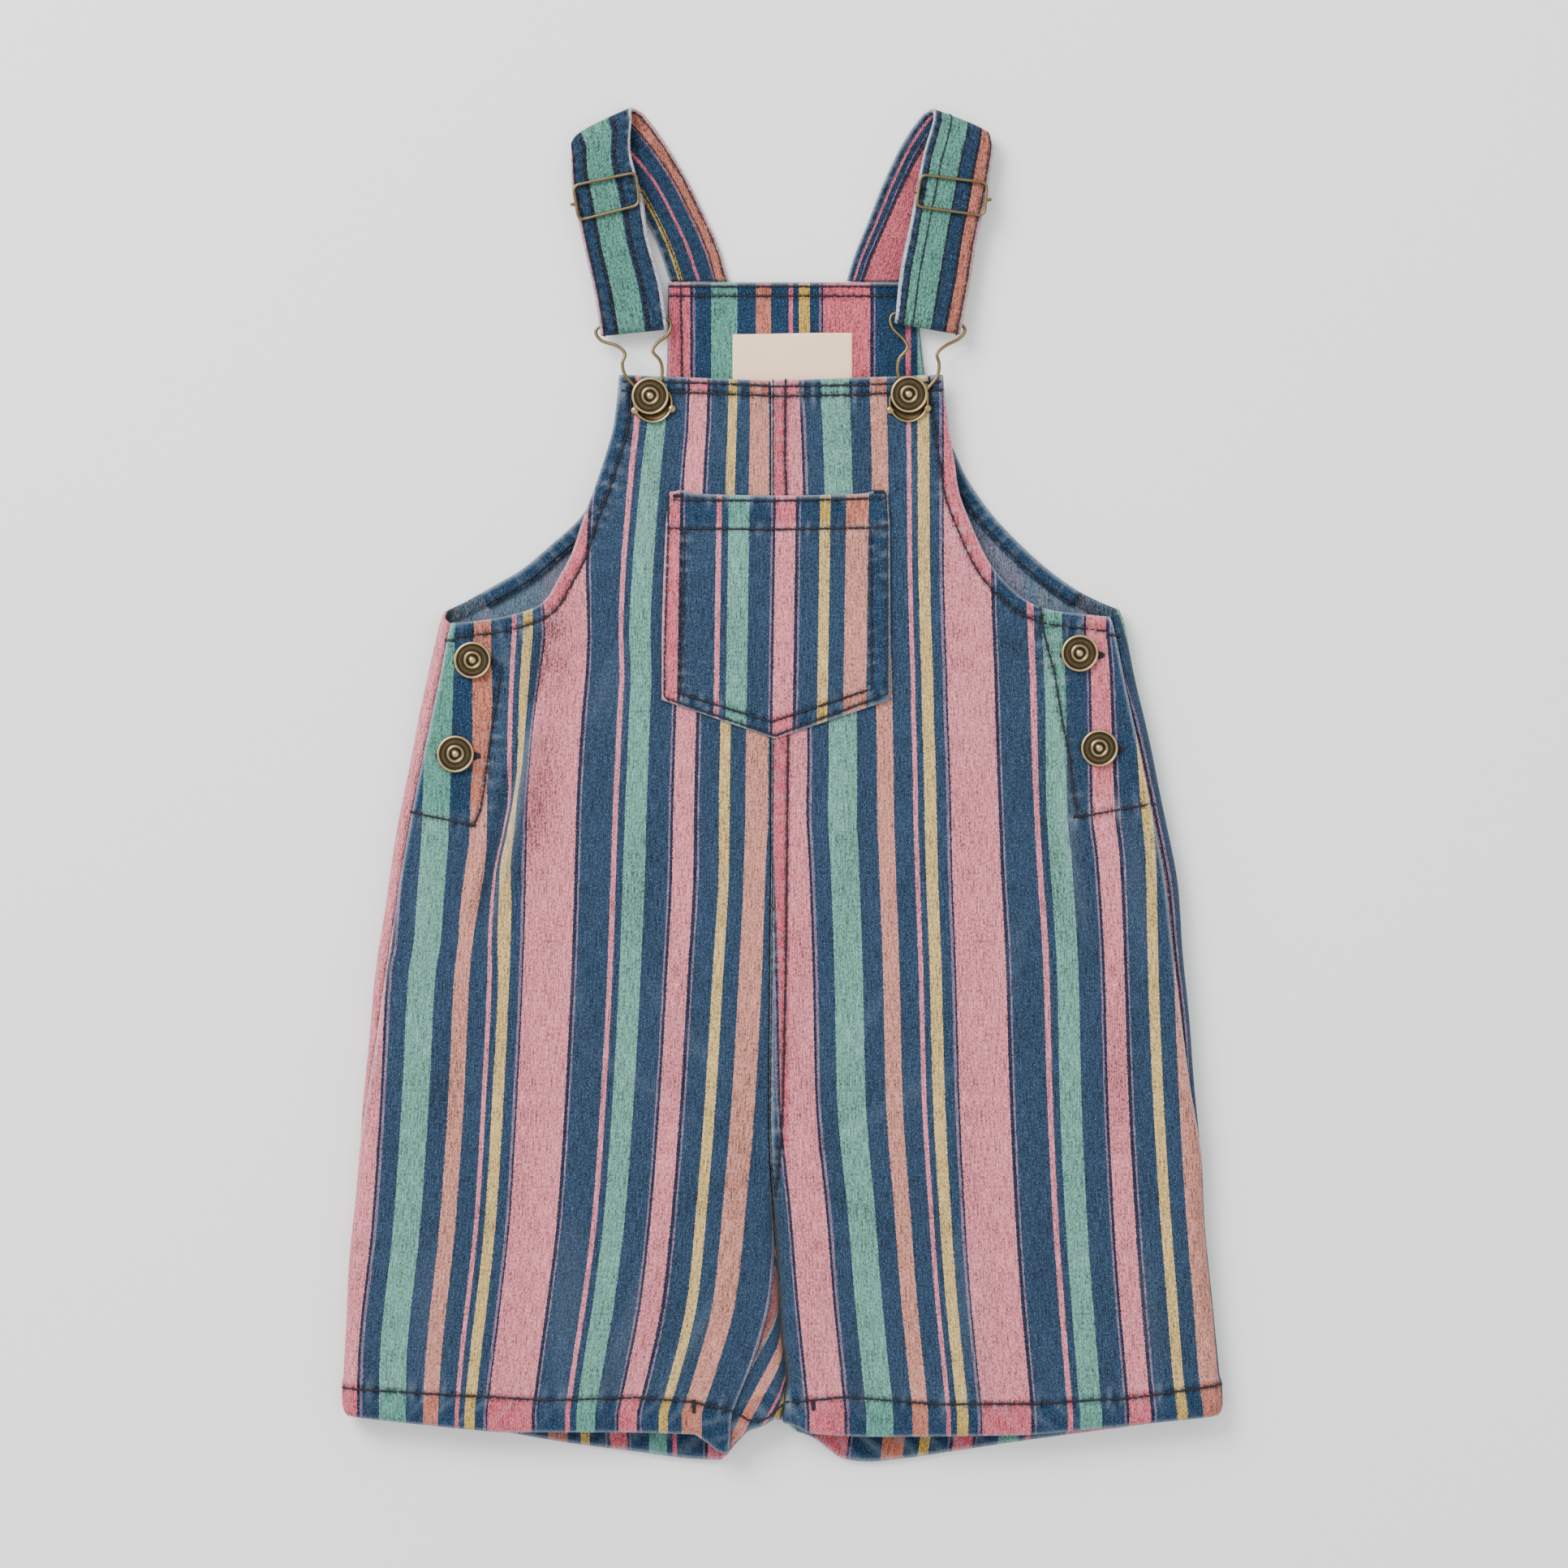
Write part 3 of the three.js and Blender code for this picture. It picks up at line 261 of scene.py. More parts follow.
def skin(side, place, y):
    y = np.asarray(y, float)
    s = section(side, y)
    c = np.where(s["closed"], np.mod(place, s["total"]), np.clip(place, 0, s["total"]))
    quarter = np.maximum(s["quarter"], 1e-6)
    r = s["innerRadius"]
    c1 = c - s["quarter"]
    c2 = c1 - s["flat"]
    c3 = c2 - s["half"]
    t0 = math.pi / 2 * (1 - c / quarter)
    t2 = math.pi * c2 / s["half"]
    t4 = np.where(s["quarter"] > 0, math.pi / 2 * (c3 - s["flat"]) / quarter, 0)
    first, top, fold = c < s["quarter"], c1 < s["flat"], c2 < s["half"]
    under = c3 < s["flat"]
    pick = [first, top, fold, under]
    out = np.select(pick, [s["inner"] + r * (1 - np.sin(t0)), s["inner"] + r + c1,
                           s["outer"] - s["outerRadius"] * (1 - np.sin(t2)),
                           s["outer"] - s["outerRadius"] - c3], s["inner"] + r * (1 - np.sin(t4)))
    z = np.select(pick, [s["height"] - r * (1 - np.cos(t0)), s["height"],
                         s["height"] / 2 * (1 + np.cos(t2)), 0 * c], r * (1 - np.cos(t4)))
    up = np.select(pick, [np.cos(t0), 1 + 0 * c, np.maximum(0, np.cos(t2)), 0 * c], 0 * c)
    down = np.select(pick, [0 * c, 0 * c, np.maximum(0, -np.cos(t2)), 1 + 0 * c], np.cos(t4))
    x = sign[side] * out
    z = z + up * frontRise(x, y) + down * creaseRise(backCreases, x, y)
    # the outer fold isn't quite straight
    bulge = np.where(fold & ~top, np.sin(np.clip(t2, 0, math.pi)), 0)
    x = x + sign[side] * bulge * (0.5 * np.sin(y / 13 + sign[side]) * np.sin(y / 37) - 0.2)
    return np.stack([x, y + 0 * x, z], axis=-1)


def facing(side, place, y):
    step = 0.05
    across = skin(side, place + step, y) - skin(side, place - step, y)
    along = skin(side, place, y + step) - skin(side, place, y - step)
    n = np.cross(across, along) * sign[side]
    return n / np.maximum(np.linalg.norm(n, axis=-1, keepdims=True), 1e-9)


def unrolled(side, place, y):
    s = section(side, y)
    return sign[side] * (s["inner"] + s["innerRadius"] + place - s["quarter"])


# meshes
def addObject(name, data):
    thing = bpy.data.objects.new(name, data)
    bpy.context.scene.collection.objects.link(thing)
    return thing


def buildMesh(name, points, faces, materials, index=None, uv=None, values=None):
    mesh = bpy.data.meshes.new(name)
    points = np.asarray(points, float) * mm
    size = np.array([len(f) for f in faces])
    corners = np.concatenate([np.asarray(f) for f in faces])
    mesh.vertices.add(len(points))
    mesh.vertices.foreach_set("co", points.astype(np.float32).ravel())
    mesh.loops.add(len(corners))
    mesh.loops.foreach_set("vertex_index", corners.astype(np.int32))
    mesh.polygons.add(len(size))
    mesh.polygons.foreach_set("loop_start", np.concatenate([[0], np.cumsum(size)[:-1]]).astype(np.int32))
    for material in materials:
        mesh.materials.append(material)
    if index is not None:
        mesh.polygons.foreach_set("material_index", np.asarray(index, np.int32))
    mesh.polygons.foreach_set("use_smooth", np.ones(len(size), bool))
    if uv is not None:
        layer = mesh.uv_layers.new(name="cloth")
        layer.data.foreach_set("uv", np.asarray(uv, np.float32)[corners].ravel())
    for key, value in (values or {}).items():
        mesh.attributes.new(key, "FLOAT", "POINT").data.foreach_set("value", np.asarray(value, np.float32))
    mesh.update(calc_edges=True)
    mesh.validate()
    return addObject(name, mesh)


def clothWall(name, outer, normal, depth, uv, looks, materials, rim=(0.1, 0.4, 0.4, 0.1), turned=None):
    # two faces of cloth and a rounded rim; rim gives how far each edge bulges: u0, v0, u1, v1,
    # looks the wear and painted highlights, the painted shade of sewn grooves and the deeper colour of kept
    # dye and painted shade, turned the cells of a turned hem
    rows, columns = outer.shape[:2]
    depth = np.broadcast_to(depth, (rows, columns))
    inner = outer - normal * depth[..., None]
    at = np.arange(rows * columns).reshape(rows, columns)
    a, b, c, d = at[:-1, :-1], at[:-1, 1:], at[1:, 1:], at[1:, :-1]
    front = np.stack([a, b, c, d], -1).reshape(-1, 4)
    back = np.stack([a, d, c, b], -1).reshape(-1, 4) + rows * columns
    ring = np.concatenate([at[0, :-1], at[:-1, -1], at[-1, :0:-1], at[:0:-1, 0]])
    push = np.concatenate([np.full(columns - 1, rim[1]), np.full(rows - 1, rim[2]),
                           np.full(columns - 1, rim[3]), np.full(rows - 1, rim[0])])
    flatOuter, flatInner = outer.reshape(-1, 3), inner.reshape(-1, 3)
    inside = np.concatenate([at[1, :-1], at[:-1, -2], at[-2, :0:-1], at[:0:-1, 1]])
    away = flatOuter[ring] - flatOuter[inside]
    away /= np.maximum(np.linalg.norm(away, axis=1, keepdims=True), 1e-9)
    middle = (flatOuter[ring] + flatInner[ring]) / 2 + away * (push * 0.5)[:, None]
    k = np.arange(len(ring))
    after = np.roll(k, -1)
    base = 2 * rows * columns
    upper = np.stack([ring, base + k, base + after, ring[after]], -1)
    lower = np.stack([base + k, ring + rows * columns, ring[after] + rows * columns, base + after], -1)
    points = np.vstack([flatOuter, flatInner, middle])
    faces = np.vstack([front, back, upper, lower])
    p, q, r = points[faces[:, 0]], points[faces[:, 1]], points[faces[:, 2]]
    s = points[faces[:, 3]]
    volume = np.einsum("ij,ij->i", p, np.cross(q, r)).sum() + np.einsum("ij,ij->i", p, np.cross(r, s)).sum()
    if volume < 0:
        faces = faces[:, ::-1]
    inside = np.ones(len(back)) if turned is None else 1.0 - turned[:-1, :-1].ravel()
    index = np.concatenate([np.zeros(len(front)), inside, np.zeros(len(upper) + len(lower))])
    if len(materials) == 1:
        index[:] = 0
    flatUv = uv.reshape(-1, 2)
    values = {}
    for key, value in looks.items():
        value = np.broadcast_to(value, (rows, columns)).ravel()
        values[key] = np.concatenate([value, value, value[ring] + (0.15 if key == "wearAndHighlight" else 0)])
    return buildMesh(name, points, faces, materials, index, np.vstack([flatUv, flatUv, flatUv[ring]]), values)


# materials
# shadedPink is the wide pink painted darker, for pink lying in shade
colours = {
    "blue": (0.0135, 0.034, 0.070), "navy": (0.008, 0.0135, 0.035), "mauve": (0.155, 0.105, 0.170),
    "widePink": (0.535, 0.169, 0.197), "thinPink": (0.504, 0.160, 0.197), "green": (0.108, 0.251, 0.203),
    "orange": (0.437, 0.181, 0.139), "yellow": (0.470, 0.325, 0.120), "pale": (0.420, 0.450, 0.500),
    "wrongSide": (0.076, 0.117, 0.167), "wash": (0.270, 0.320, 0.380), "shadedPink": (0.250, 0.080, 0.085),
    "ink": (0.004, 0.006, 0.016),
}
repeat = {
    "length": 191.9,
    "bands": [(0, "widePink"), (14.7, "navy"), (16.1, "mauve"), (17.0, "blue"), (24.3, "green"),
              (35.9, "blue"), (43.9, "orange"), (50.9, "blue"), (58.5, "thinPink"), (60.7, "blue"),
              (63.3, "yellow"), (68, "blue"), (72.2, "mauve"), (73.1, "navy"), (74.2, "widePink"),
              (95, "navy"), (96.4, "mauve"), (97.3, "blue"), (110.8, "thinPink"), (113.1, "blue"),
              (116.1, "green"), (125.1, "blue"), (134.3, "mauve"), (135.2, "navy"), (136.4, "widePink"),
              (145, "navy"), (146.2, "mauve"), (147.1, "blue"), (155.2, "yellow"), (159.9, "blue"),
              (166.7, "orange"), (176.3, "blue"), (189.8, "mauve"), (190.7, "navy")],
}


def nodeMaker(material):
    tree = material.node_tree
    tree.nodes.clear()

    def make(kind, inputs=None, **settings):
        node = tree.nodes.new(kind)
        for key, value in settings.items():
            setattr(node, key, value)
        for key, value in (inputs or {}).items():
            socket = node.inputs[key]
            if isinstance(value, bpy.types.NodeSocket):
                tree.links.new(value, socket)
            else:
                socket.default_value = value
        return node
    return make


def newMaterial(name):
    material = bpy.data.materials.new(name)
    material.use_nodes = True
    return material, nodeMaker(material)


def mixColours(make, factor, low, high):
    return make("ShaderNodeMix", {"Factor": factor, 6: low, 7: high}, data_type="RGBA").outputs[2]


def painted(make, name):
    # a value that the mesh carries at its points
    return make("ShaderNodeAttribute", attribute_name=name).outputs["Fac"]


# how much each feature of the weave lightens or darkens it, how much painted shade darkens the grooves, and
# how much deeper the colour goes for kept dye and for painted shade
weave = {"yarn": 1.3, "fleck": 3.2, "slub": 0.5, "wash": 0.5, "twill": 0.16, "groove": 0.75, "dyeAndShadeDepth": 0.3,
         "weftSeen": 1.3}


def stripedCloth(name, bands, length, faded=0.0, wearAndHighlight=0.85):
    # woven stripes by the cloth's own millimetres, with slubs, wash and a fine twill
    material, make = newMaterial(name)
    uv = make("ShaderNodeUVMap", uv_map="cloth").outputs["UV"]
    axes = make("ShaderNodeSeparateXYZ", {"Vector": uv})
    across, along = axes.outputs["X"], axes.outputs["Y"]

    def calc(kind, a, b=0.0, clamp=False):
        return make("ShaderNodeMath", {0: a, 1: b}, operation=kind, use_clamp=clamp).outputs[0]

    def noise(su, sv, scale, detail=2.0, rough=0.55):
        place = make("ShaderNodeMapping", {"Vector": uv, "Scale": (su, sv, 1.0)}).outputs["Vector"]
        return make("ShaderNodeTexNoise", {"Vector": place, "Scale": scale, "Detail": detail,
                                           "Roughness": rough}).outputs["Fac"]

    def centred(value, feature):
        return calc("MULTIPLY", calc("SUBTRACT", value, 0.5), weave[feature])

    ragged = calc("MULTIPLY_ADD", noise(1.0, 0.9, 1.3, 1.0), 0.9)
    ragged.node.inputs[2].default_value = -0.45
    place = calc("ADD", across, ragged)
    turn = calc("FRACT", calc("DIVIDE", place, length))
    halves = []
    middle = next((i for i, (at, _) in enumerate(bands) if at >= length / 2), len(bands))
    first = bands[:middle]
    second = [(length / 2, first[-1][1])] + bands[middle:]
    for start, part in ((0.0, first), (0.5, second)):
        spot = calc("MULTIPLY", calc("SUBTRACT", turn, start), 2.0)
        ramp = make("ShaderNodeValToRGB", {"Fac": spot})
        ramp.color_ramp.interpolation = "CONSTANT"
        stops = ramp.color_ramp.elements
        while len(stops) < len(part):
            stops.new(1.0)
        for stop, (at, key) in zip(stops, part):
            stop.position = min(1.0, max(0.0, (at / length - start) * 2))
            stop.color = (*colours[key], 1)
        for stop in list(stops)[len(part):]:
            stops.remove(stop)
        halves.append(ramp.outputs["Color"])
    woven = mixColours(make, calc("GREATER_THAN", turn, 0.5), *halves)
    if faded:
        woven = mixColours(make, faded, woven, (*colours["wrongSide"], 1))
    # the crotch wedge's pink, painted darker as painted shade
    woven = mixColours(make, painted(make, "shadedWedgeMask"), woven, (*colours["shadedPink"], 1))
    yarn = noise(1.0, 0.06, 2.4, 0.0, 0.5)
    slub = noise(1.0, 0.09, 0.9, 1.0, 0.6)
    fleck = noise(1.0, 0.65, 1.15, 2.0, 0.85)
    wash = noise(1.0, 0.4, 0.06, 2.0, 0.5)
    slant = calc("SUBTRACT", across, calc("MULTIPLY", along, 0.58))
    twill = calc("SINE", calc("MULTIPLY", slant, 5.9))
    lightness = calc("ADD", centred(yarn, "yarn"), centred(fleck, "fleck"))
    lightness = calc("ADD", lightness, centred(slub, "slub"))
    lightness = calc("ADD", lightness, centred(wash, "wash"))
    lightness = calc("ADD", lightness, calc("MULTIPLY", twill, weave["twill"]))
    # painted shade: the groove values darken the cloth in sewn grooves, crease valleys and the gaps at seams;
    # past the armhole bands they stand for dark cloth, and they also darken the straps a little all over
    lightness = calc("SUBTRACT", lightness, calc("MULTIPLY", painted(make, "groove"), weave["groove"]))
    gain = calc("MAXIMUM", calc("ADD", lightness, 1.0), 0.2)
    # turned and covered cloth kept more of its dye; on the back facing the same deeper, darker colour is
    # painted shade
    dyeAndShadeDepth = calc("MULTIPLY", painted(make, "keptDyeAndShade"), weave["dyeAndShadeDepth"])
    richer = make("ShaderNodeHueSaturation", {
        "Saturation": calc("ADD", 1.0, dyeAndShadeDepth), "Value": calc("SUBTRACT", 1.0, dyeAndShadeDepth),
        "Color": woven}).outputs["Color"]
    # pale weft shows between the dyed threads
    speck = noise(1.0, 0.75, 2.0, 1.0, 0.8)
    weftSeen = calc("ADD", centred(speck, "weftSeen"), calc("MULTIPLY", twill, 0.03))
    weftSeen = calc("SUBTRACT", weftSeen, 0.05, clamp=True)
    richer = mixColours(make, weftSeen, richer, (*colours["wash"], 1))
    grey = make("ShaderNodeCombineXYZ", {"X": gain, "Y": gain, "Z": gain}).outputs[0]
    toned = make("ShaderNodeVectorMath", {0: richer, 1: grey}, operation="MULTIPLY").outputs[0]
    # rubbed wear, and the painted highlight on fold ridges, turn the colour pale
    rubbed = calc("MULTIPLY", calc("MULTIPLY", painted(make, "wearAndHighlight"), wearAndHighlight),
                  calc("MULTIPLY", calc("ADD", fleck, 0.15), 1.5), clamp=True)
    washed = mixColours(make, 0.6, toned, (*colours["wash"], 1))
    pale = make("ShaderNodeVectorMath", {0: washed, 1: (1.5, 1.5, 1.5)}, operation="MULTIPLY").outputs[0]
    final = mixColours(make, rubbed, toned, pale)
    weft = calc("ADD", calc("MULTIPLY", twill, 0.3), calc("MULTIPLY", fleck, 1.2))
    bump = make("ShaderNodeBump", {"Strength": 0.5, "Distance": 0.0003, "Height": weft}).outputs["Normal"]
    shader = make("ShaderNodeBsdfPrincipled", {
        "Base Color": final, "Roughness": 0.9, "Normal": bump, "Sheen Weight": 0.1,
        "Sheen Roughness": 0.5, "Specular IOR Level": 0.15})
    make("ShaderNodeOutputMaterial", {"Surface": shader.outputs[0]})
    return material


def plainMaterial(name, colour, roughness, scale, spread, metallic=0.0, dark=None):
    material, make = newMaterial(name)
    spot = make("ShaderNodeTexCoord").outputs["Object"]
    noise = make("ShaderNodeTexNoise", {"Vector": spot, "Scale": scale, "Detail": 3.0}).outputs["Fac"]
    low = tuple(c * (1 - spread) for c in colour)
    high = tuple(min(1, c * (1 + spread)) for c in colour)
    tone = mixColours(make, noise, (*low, 1), (*high, 1))
    if dark is not None:
        tone = mixColours(make, painted(make, "patina"), tone, (*dark, 1))
    bump = make("ShaderNodeBump", {"Strength": 0.3, "Distance": 0.0001, "Height": noise}).outputs["Normal"]
    shader = make("ShaderNodeBsdfPrincipled", {
        "Base Color": tone, "Roughness": roughness, "Metallic": metallic, "Normal": bump})
    make("ShaderNodeOutputMaterial", {"Surface": shader.outputs[0]})
    return material


denim = stripedCloth("striped_denim", repeat["bands"], repeat["length"])
denimInside = stripedCloth("striped_denim_wrong_side", repeat["bands"], repeat["length"], faded=0.92,
                           wearAndHighlight=0.3)
labelCotton = plainMaterial("label_cotton", (0.95, 0.66, 0.45), 0.8, scale=1400, spread=0.05)
thread = plainMaterial("thread", (0.006, 0.006, 0.016), 0.8, scale=240, spread=0.5)
brass = plainMaterial("antique_brass", (0.50, 0.37, 0.185), 0.33, metallic=1.0, scale=420, spread=0.35,
                      dark=(0.014, 0.010, 0.007))
print("materials made")


# points read in the view from above, turned into millimetres about its middle
view = {"step": 0.35, "x": 964, "y": 966.5}


def seen(points):
    return [((x - view["x"]) * view["step"], (view["y"] - y) * view["step"]) for x, y in points]


def fromView(rows):
    return smoothTable([(y, x) for x, y in seen([(x, y) for y, x in rows])])


# stripes across the fronts: where each stripe of the repeat starts, by level
stripeGuides = {
    "right": [
        (35.9, fromView([(778, 561), (860, 558), (938, 555.6), (1027, 553), (1071, 550), (1116, 546.7),
                         (1160, 543.6), (1200, 537), (1350, 529), (1500, 519), (1690, 501), (1740, 500.5)])),
        (43.9, fromView([(778, 583), (860, 581), (938, 582), (982, 579), (1027, 578), (1071, 572),
                         (1116, 566.7), (1160, 564), (1200, 559.4), (1350, 552), (1500, 542),
                         (1690, 523), (1740, 521)])),
        (50.9, fromView([(778, 605), (860, 606.7), (938, 602), (982, 600), (1027, 600), (1071, 598),
                         (1116, 590), (1160, 583), (1200, 579), (1350, 572), (1500, 562), (1690, 542.6),
                         (1740, 540)])),
        (58.5, fromView([(778, 630), (860, 626), (938, 624.4), (982, 626.7), (1027, 619), (1071, 609),
                         (1116, 603.6), (1160, 601), (1200, 600), (1350, 593), (1500, 584), (1690, 563.6),
                         (1740, 560)])),
        (63.3, fromView([(778, 645), (860, 640), (938, 638.7), (982, 633.5), (1027, 625), (1071, 616.5),
                         (1116, 614.7), (1160, 613), (1200, 614), (1350, 607), (1500, 598), (1690, 577),
                         (1740, 572.4)])),
        (68, fromView([(778, 656), (860, 650), (938, 644), (982, 637.5), (1027, 633), (1071, 629),
                       (1116, 630), (1160, 629), (1200, 627.5), (1350, 620.4), (1500, 611), (1690, 590),
                       (1740, 584.7)])),
        (74.2, fromView([(700, 664), (780, 672), (830, 666), (880, 659), (930, 654), (1000, 650), (1060, 649),
                         (1200, 645), (1350, 638), (1500, 629), (1600, 618), (1690, 607), (1740, 601)])),
        (116.1, fromView([(480, 799), (520, 797), (570, 791), (620, 786), (700, 779), (780, 775), (830, 777),
                          (880, 775), (930, 773), (1000, 770), (1060, 768), (1200, 763), (1350, 755),
                          (1500, 744), (1600, 731), (1690, 717), (1740, 710)])),
        (155.2, fromView([(480, 897), (520, 896), (570, 894), (930, 886), (1000, 885), (1060, 885),
                          (1200, 877), (1350, 868), (1500, 856), (1600, 846), (1690, 826), (1740, 811)])),
        (176.3, fromView([(480, 946), (520, 947), (1000, 946), (1060, 943), (1200, 938), (1350, 930),
                          (1500, 917), (1600, 906), (1690, 881), (1740, 864)])),
    ],
    "left": [
        (24.3, fromView([(480, 1011), (570, 1015), (930, 1021), (1000, 1020), (1060, 1023), (1200, 1028),
                         (1350, 1031), (1500, 1045), (1600, 1053), (1690, 1062), (1740, 1067)])),
        (74.2, fromView([(700, 1163), (780, 1165), (830, 1167), (880, 1168), (930, 1170), (1000, 1172),
                         (1060, 1173), (1200, 1178), (1350, 1182), (1500, 1189), (1600, 1196), (1690, 1205),
                         (1740, 1210)])),
        (110.8, fromView([(740, 1264), (838, 1268), (930, 1270.5), (1060, 1276.5), (1180, 1284),
                          (1350, 1289.4), (1500, 1296.4), (1600, 1303.4), (1690, 1310.7), (1740, 1314.8)])),
        (116.1, fromView([(780, 1284), (830, 1286), (880, 1288), (930, 1288), (1000, 1289), (1060, 1293),
                          (1200, 1302), (1350, 1305), (1500, 1312), (1600, 1319), (1690, 1326),
                          (1740, 1330)])),
        (136.4, fromView([(780, 1338), (830, 1344), (1000, 1346), (1060, 1353), (1200, 1361), (1350, 1365),
                          (1500, 1372), (1600, 1379), (1690, 1387), (1740, 1391)])),
        (155.2, fromView([(780, 1391), (887, 1397), (945, 1401), (1000, 1405), (1060, 1410),
                          (1200, 1413), (1350, 1419), (1500, 1428), (1600, 1436), (1690, 1443),
                          (1740, 1449)])),
    ],
}


def frontStripe(side, across, y):
    lines = [(g, read(y)) for g, read in stripeGuides[side]]
    g = lines[0][0] + (across - lines[0][1])
    for (g0, x0), (g1, x1) in zip(lines, lines[1:]):
        g = np.where(across > x0, g0 + (g1 - g0) * (across - x0) / (x1 - x0), g)
    return np.where(across > lines[-1][1], lines[-1][0] + across - lines[-1][1], g)


# sewing on the fronts: rows of topstitch as seen from above
def armRow(side, inset, first=0.0, last=1.0, rows=frontArmhole):
    path = curvedPath(rows[side])
    share = np.linspace(first, last, 60)
    at = path(share)
    ahead = path(np.minimum(share + 0.004, 1)) - path(np.maximum(share - 0.004, 0))
    ahead /= np.linalg.norm(ahead, axis=1, keepdims=True)
    inward = np.stack([ahead[:, 1], -ahead[:, 0]], -1)
    moved = at + inward * inset
    return [(sign[side] * x, y) for x, y in moved]


# the stitches are drawn thicker than real thread, so their dark also covers the shade of the needle's groove
# as painted shade
sewing = {"pitch": 2.6, "stitch": 3.1, "thick": 1.05, "groove": 0.35, "pucker": 0.34, "reach": 5.0,
          "shade": 0.9, "placketDye": {"right": 0.6, "left": 0.3}, "placketLow": -16.0, "edgeThick": 0.6,
          "armInset": 6.1}
frontRows = {
    "right": {
        "armhole": armRow("right", sewing["armInset"], 0.01, 0.985),
        "top edge": seen([(770, 470), (850, 471), (944, 475), (949, 476)]),
        "top": seen([(768, 481), (840, 483), (944, 487), (949, 488)]),
        "placket": seen([(618, 819), (613.5, 856), (605.5, 902), (602, 930), (597, 969), (592, 998),
                         (584, 1017), (509, 1001)]),
        "hem": seen([(425, 1709.7), (545, 1717), (668, 1724), (783, 1721), (851.6, 1726), (893, 1735)]),
    },
    "left": {
        "armhole": armRow("left", sewing["armInset"], 0.01, 0.985),
        "top edge": seen([(952, 476), (1060, 474), (1156, 470)]),
        "top": seen([(952, 488), (1060, 486), (1158, 480)]),
        "centre, near": seen([(952.5, 470), (952.5, 700), (952.5, 900), (951, 1200), (949, 1380),
                              (953, 1470)]),
        "centre, far": seen([(968, 470), (967, 560), (970, 640), (971, 900), (968, 1200), (964, 1380),
                             (956, 1470)]),
        "placket": seen([(1282, 750), (1285, 776), (1299, 829), (1308, 884), (1317, 930), (1322, 975.5),
                         (1328, 1006.5), (1420.7, 990)]),
        "hem": seen([(971, 1727), (1038.6, 1720.6), (1157, 1729), (1276, 1728.5), (1394.5, 1721.4),
                     (1503, 1705.6)]),
    },
}


def unrollRow(side, row):
    path = evenPath(row)
    row = path(np.linspace(0, 1, max(3, int(path.length / 2.5))))
    place = placeOnFront(side, row[:, 1], sign[side] * row[:, 0])
    return np.stack([unrolled(side, place, row[:, 1]), row[:, 1]], -1)


def nearest(px, py, path):
    # distance to a path, and how far along it the nearest point lies
    a, b = path[:-1], path[1:]
    d = b - a
    length = np.maximum((d**2).sum(1), 1e-9)
    run = np.concatenate([[0], np.cumsum(np.sqrt(length))])
    shape = px.shape
    px, py = px.ravel(), py.ravel()
    best, where = np.full(px.shape, 1e9), np.zeros(px.shape)
    for k in range(len(a)):
        t = np.clip(((px - a[k, 0]) * d[k, 0] + (py - a[k, 1]) * d[k, 1]) / length[k], 0, 1)
        off = np.hypot(px - a[k, 0] - t * d[k, 0], py - a[k, 1] - t * d[k, 1])
        closer = off < best
        best = np.where(closer, off, best)
        where = np.where(closer, run[k] + t * math.sqrt(length[k]), where)
    return best.reshape(shape), where.reshape(shape)


def puckers(run, seed):
    # uneven gathers along a row of stitching
    return (np.sin(run / 1.15 + 1.9 * np.sin(run / 7.7 + seed)) * (0.6 + 0.4 * np.sin(run / 12.3 + 2 * seed))
            + 0.35 * np.sin(run / 0.71 + seed))


placketRow = {side: smoothTable([(y, x) for x, y in frontRows[side]["placket"] if y > sewing["placketLow"]])
              for side in sides}
unrolledRows = {side: {key: unrollRow(side, row) for key, row in frontRows[side].items()} for side in sides}
armEdge = {side: unrollRow(side, armRow(side, 0)) for side in sides}
topEdge, hemEdge = {}, {}     # read off the fronts' own first and last rows


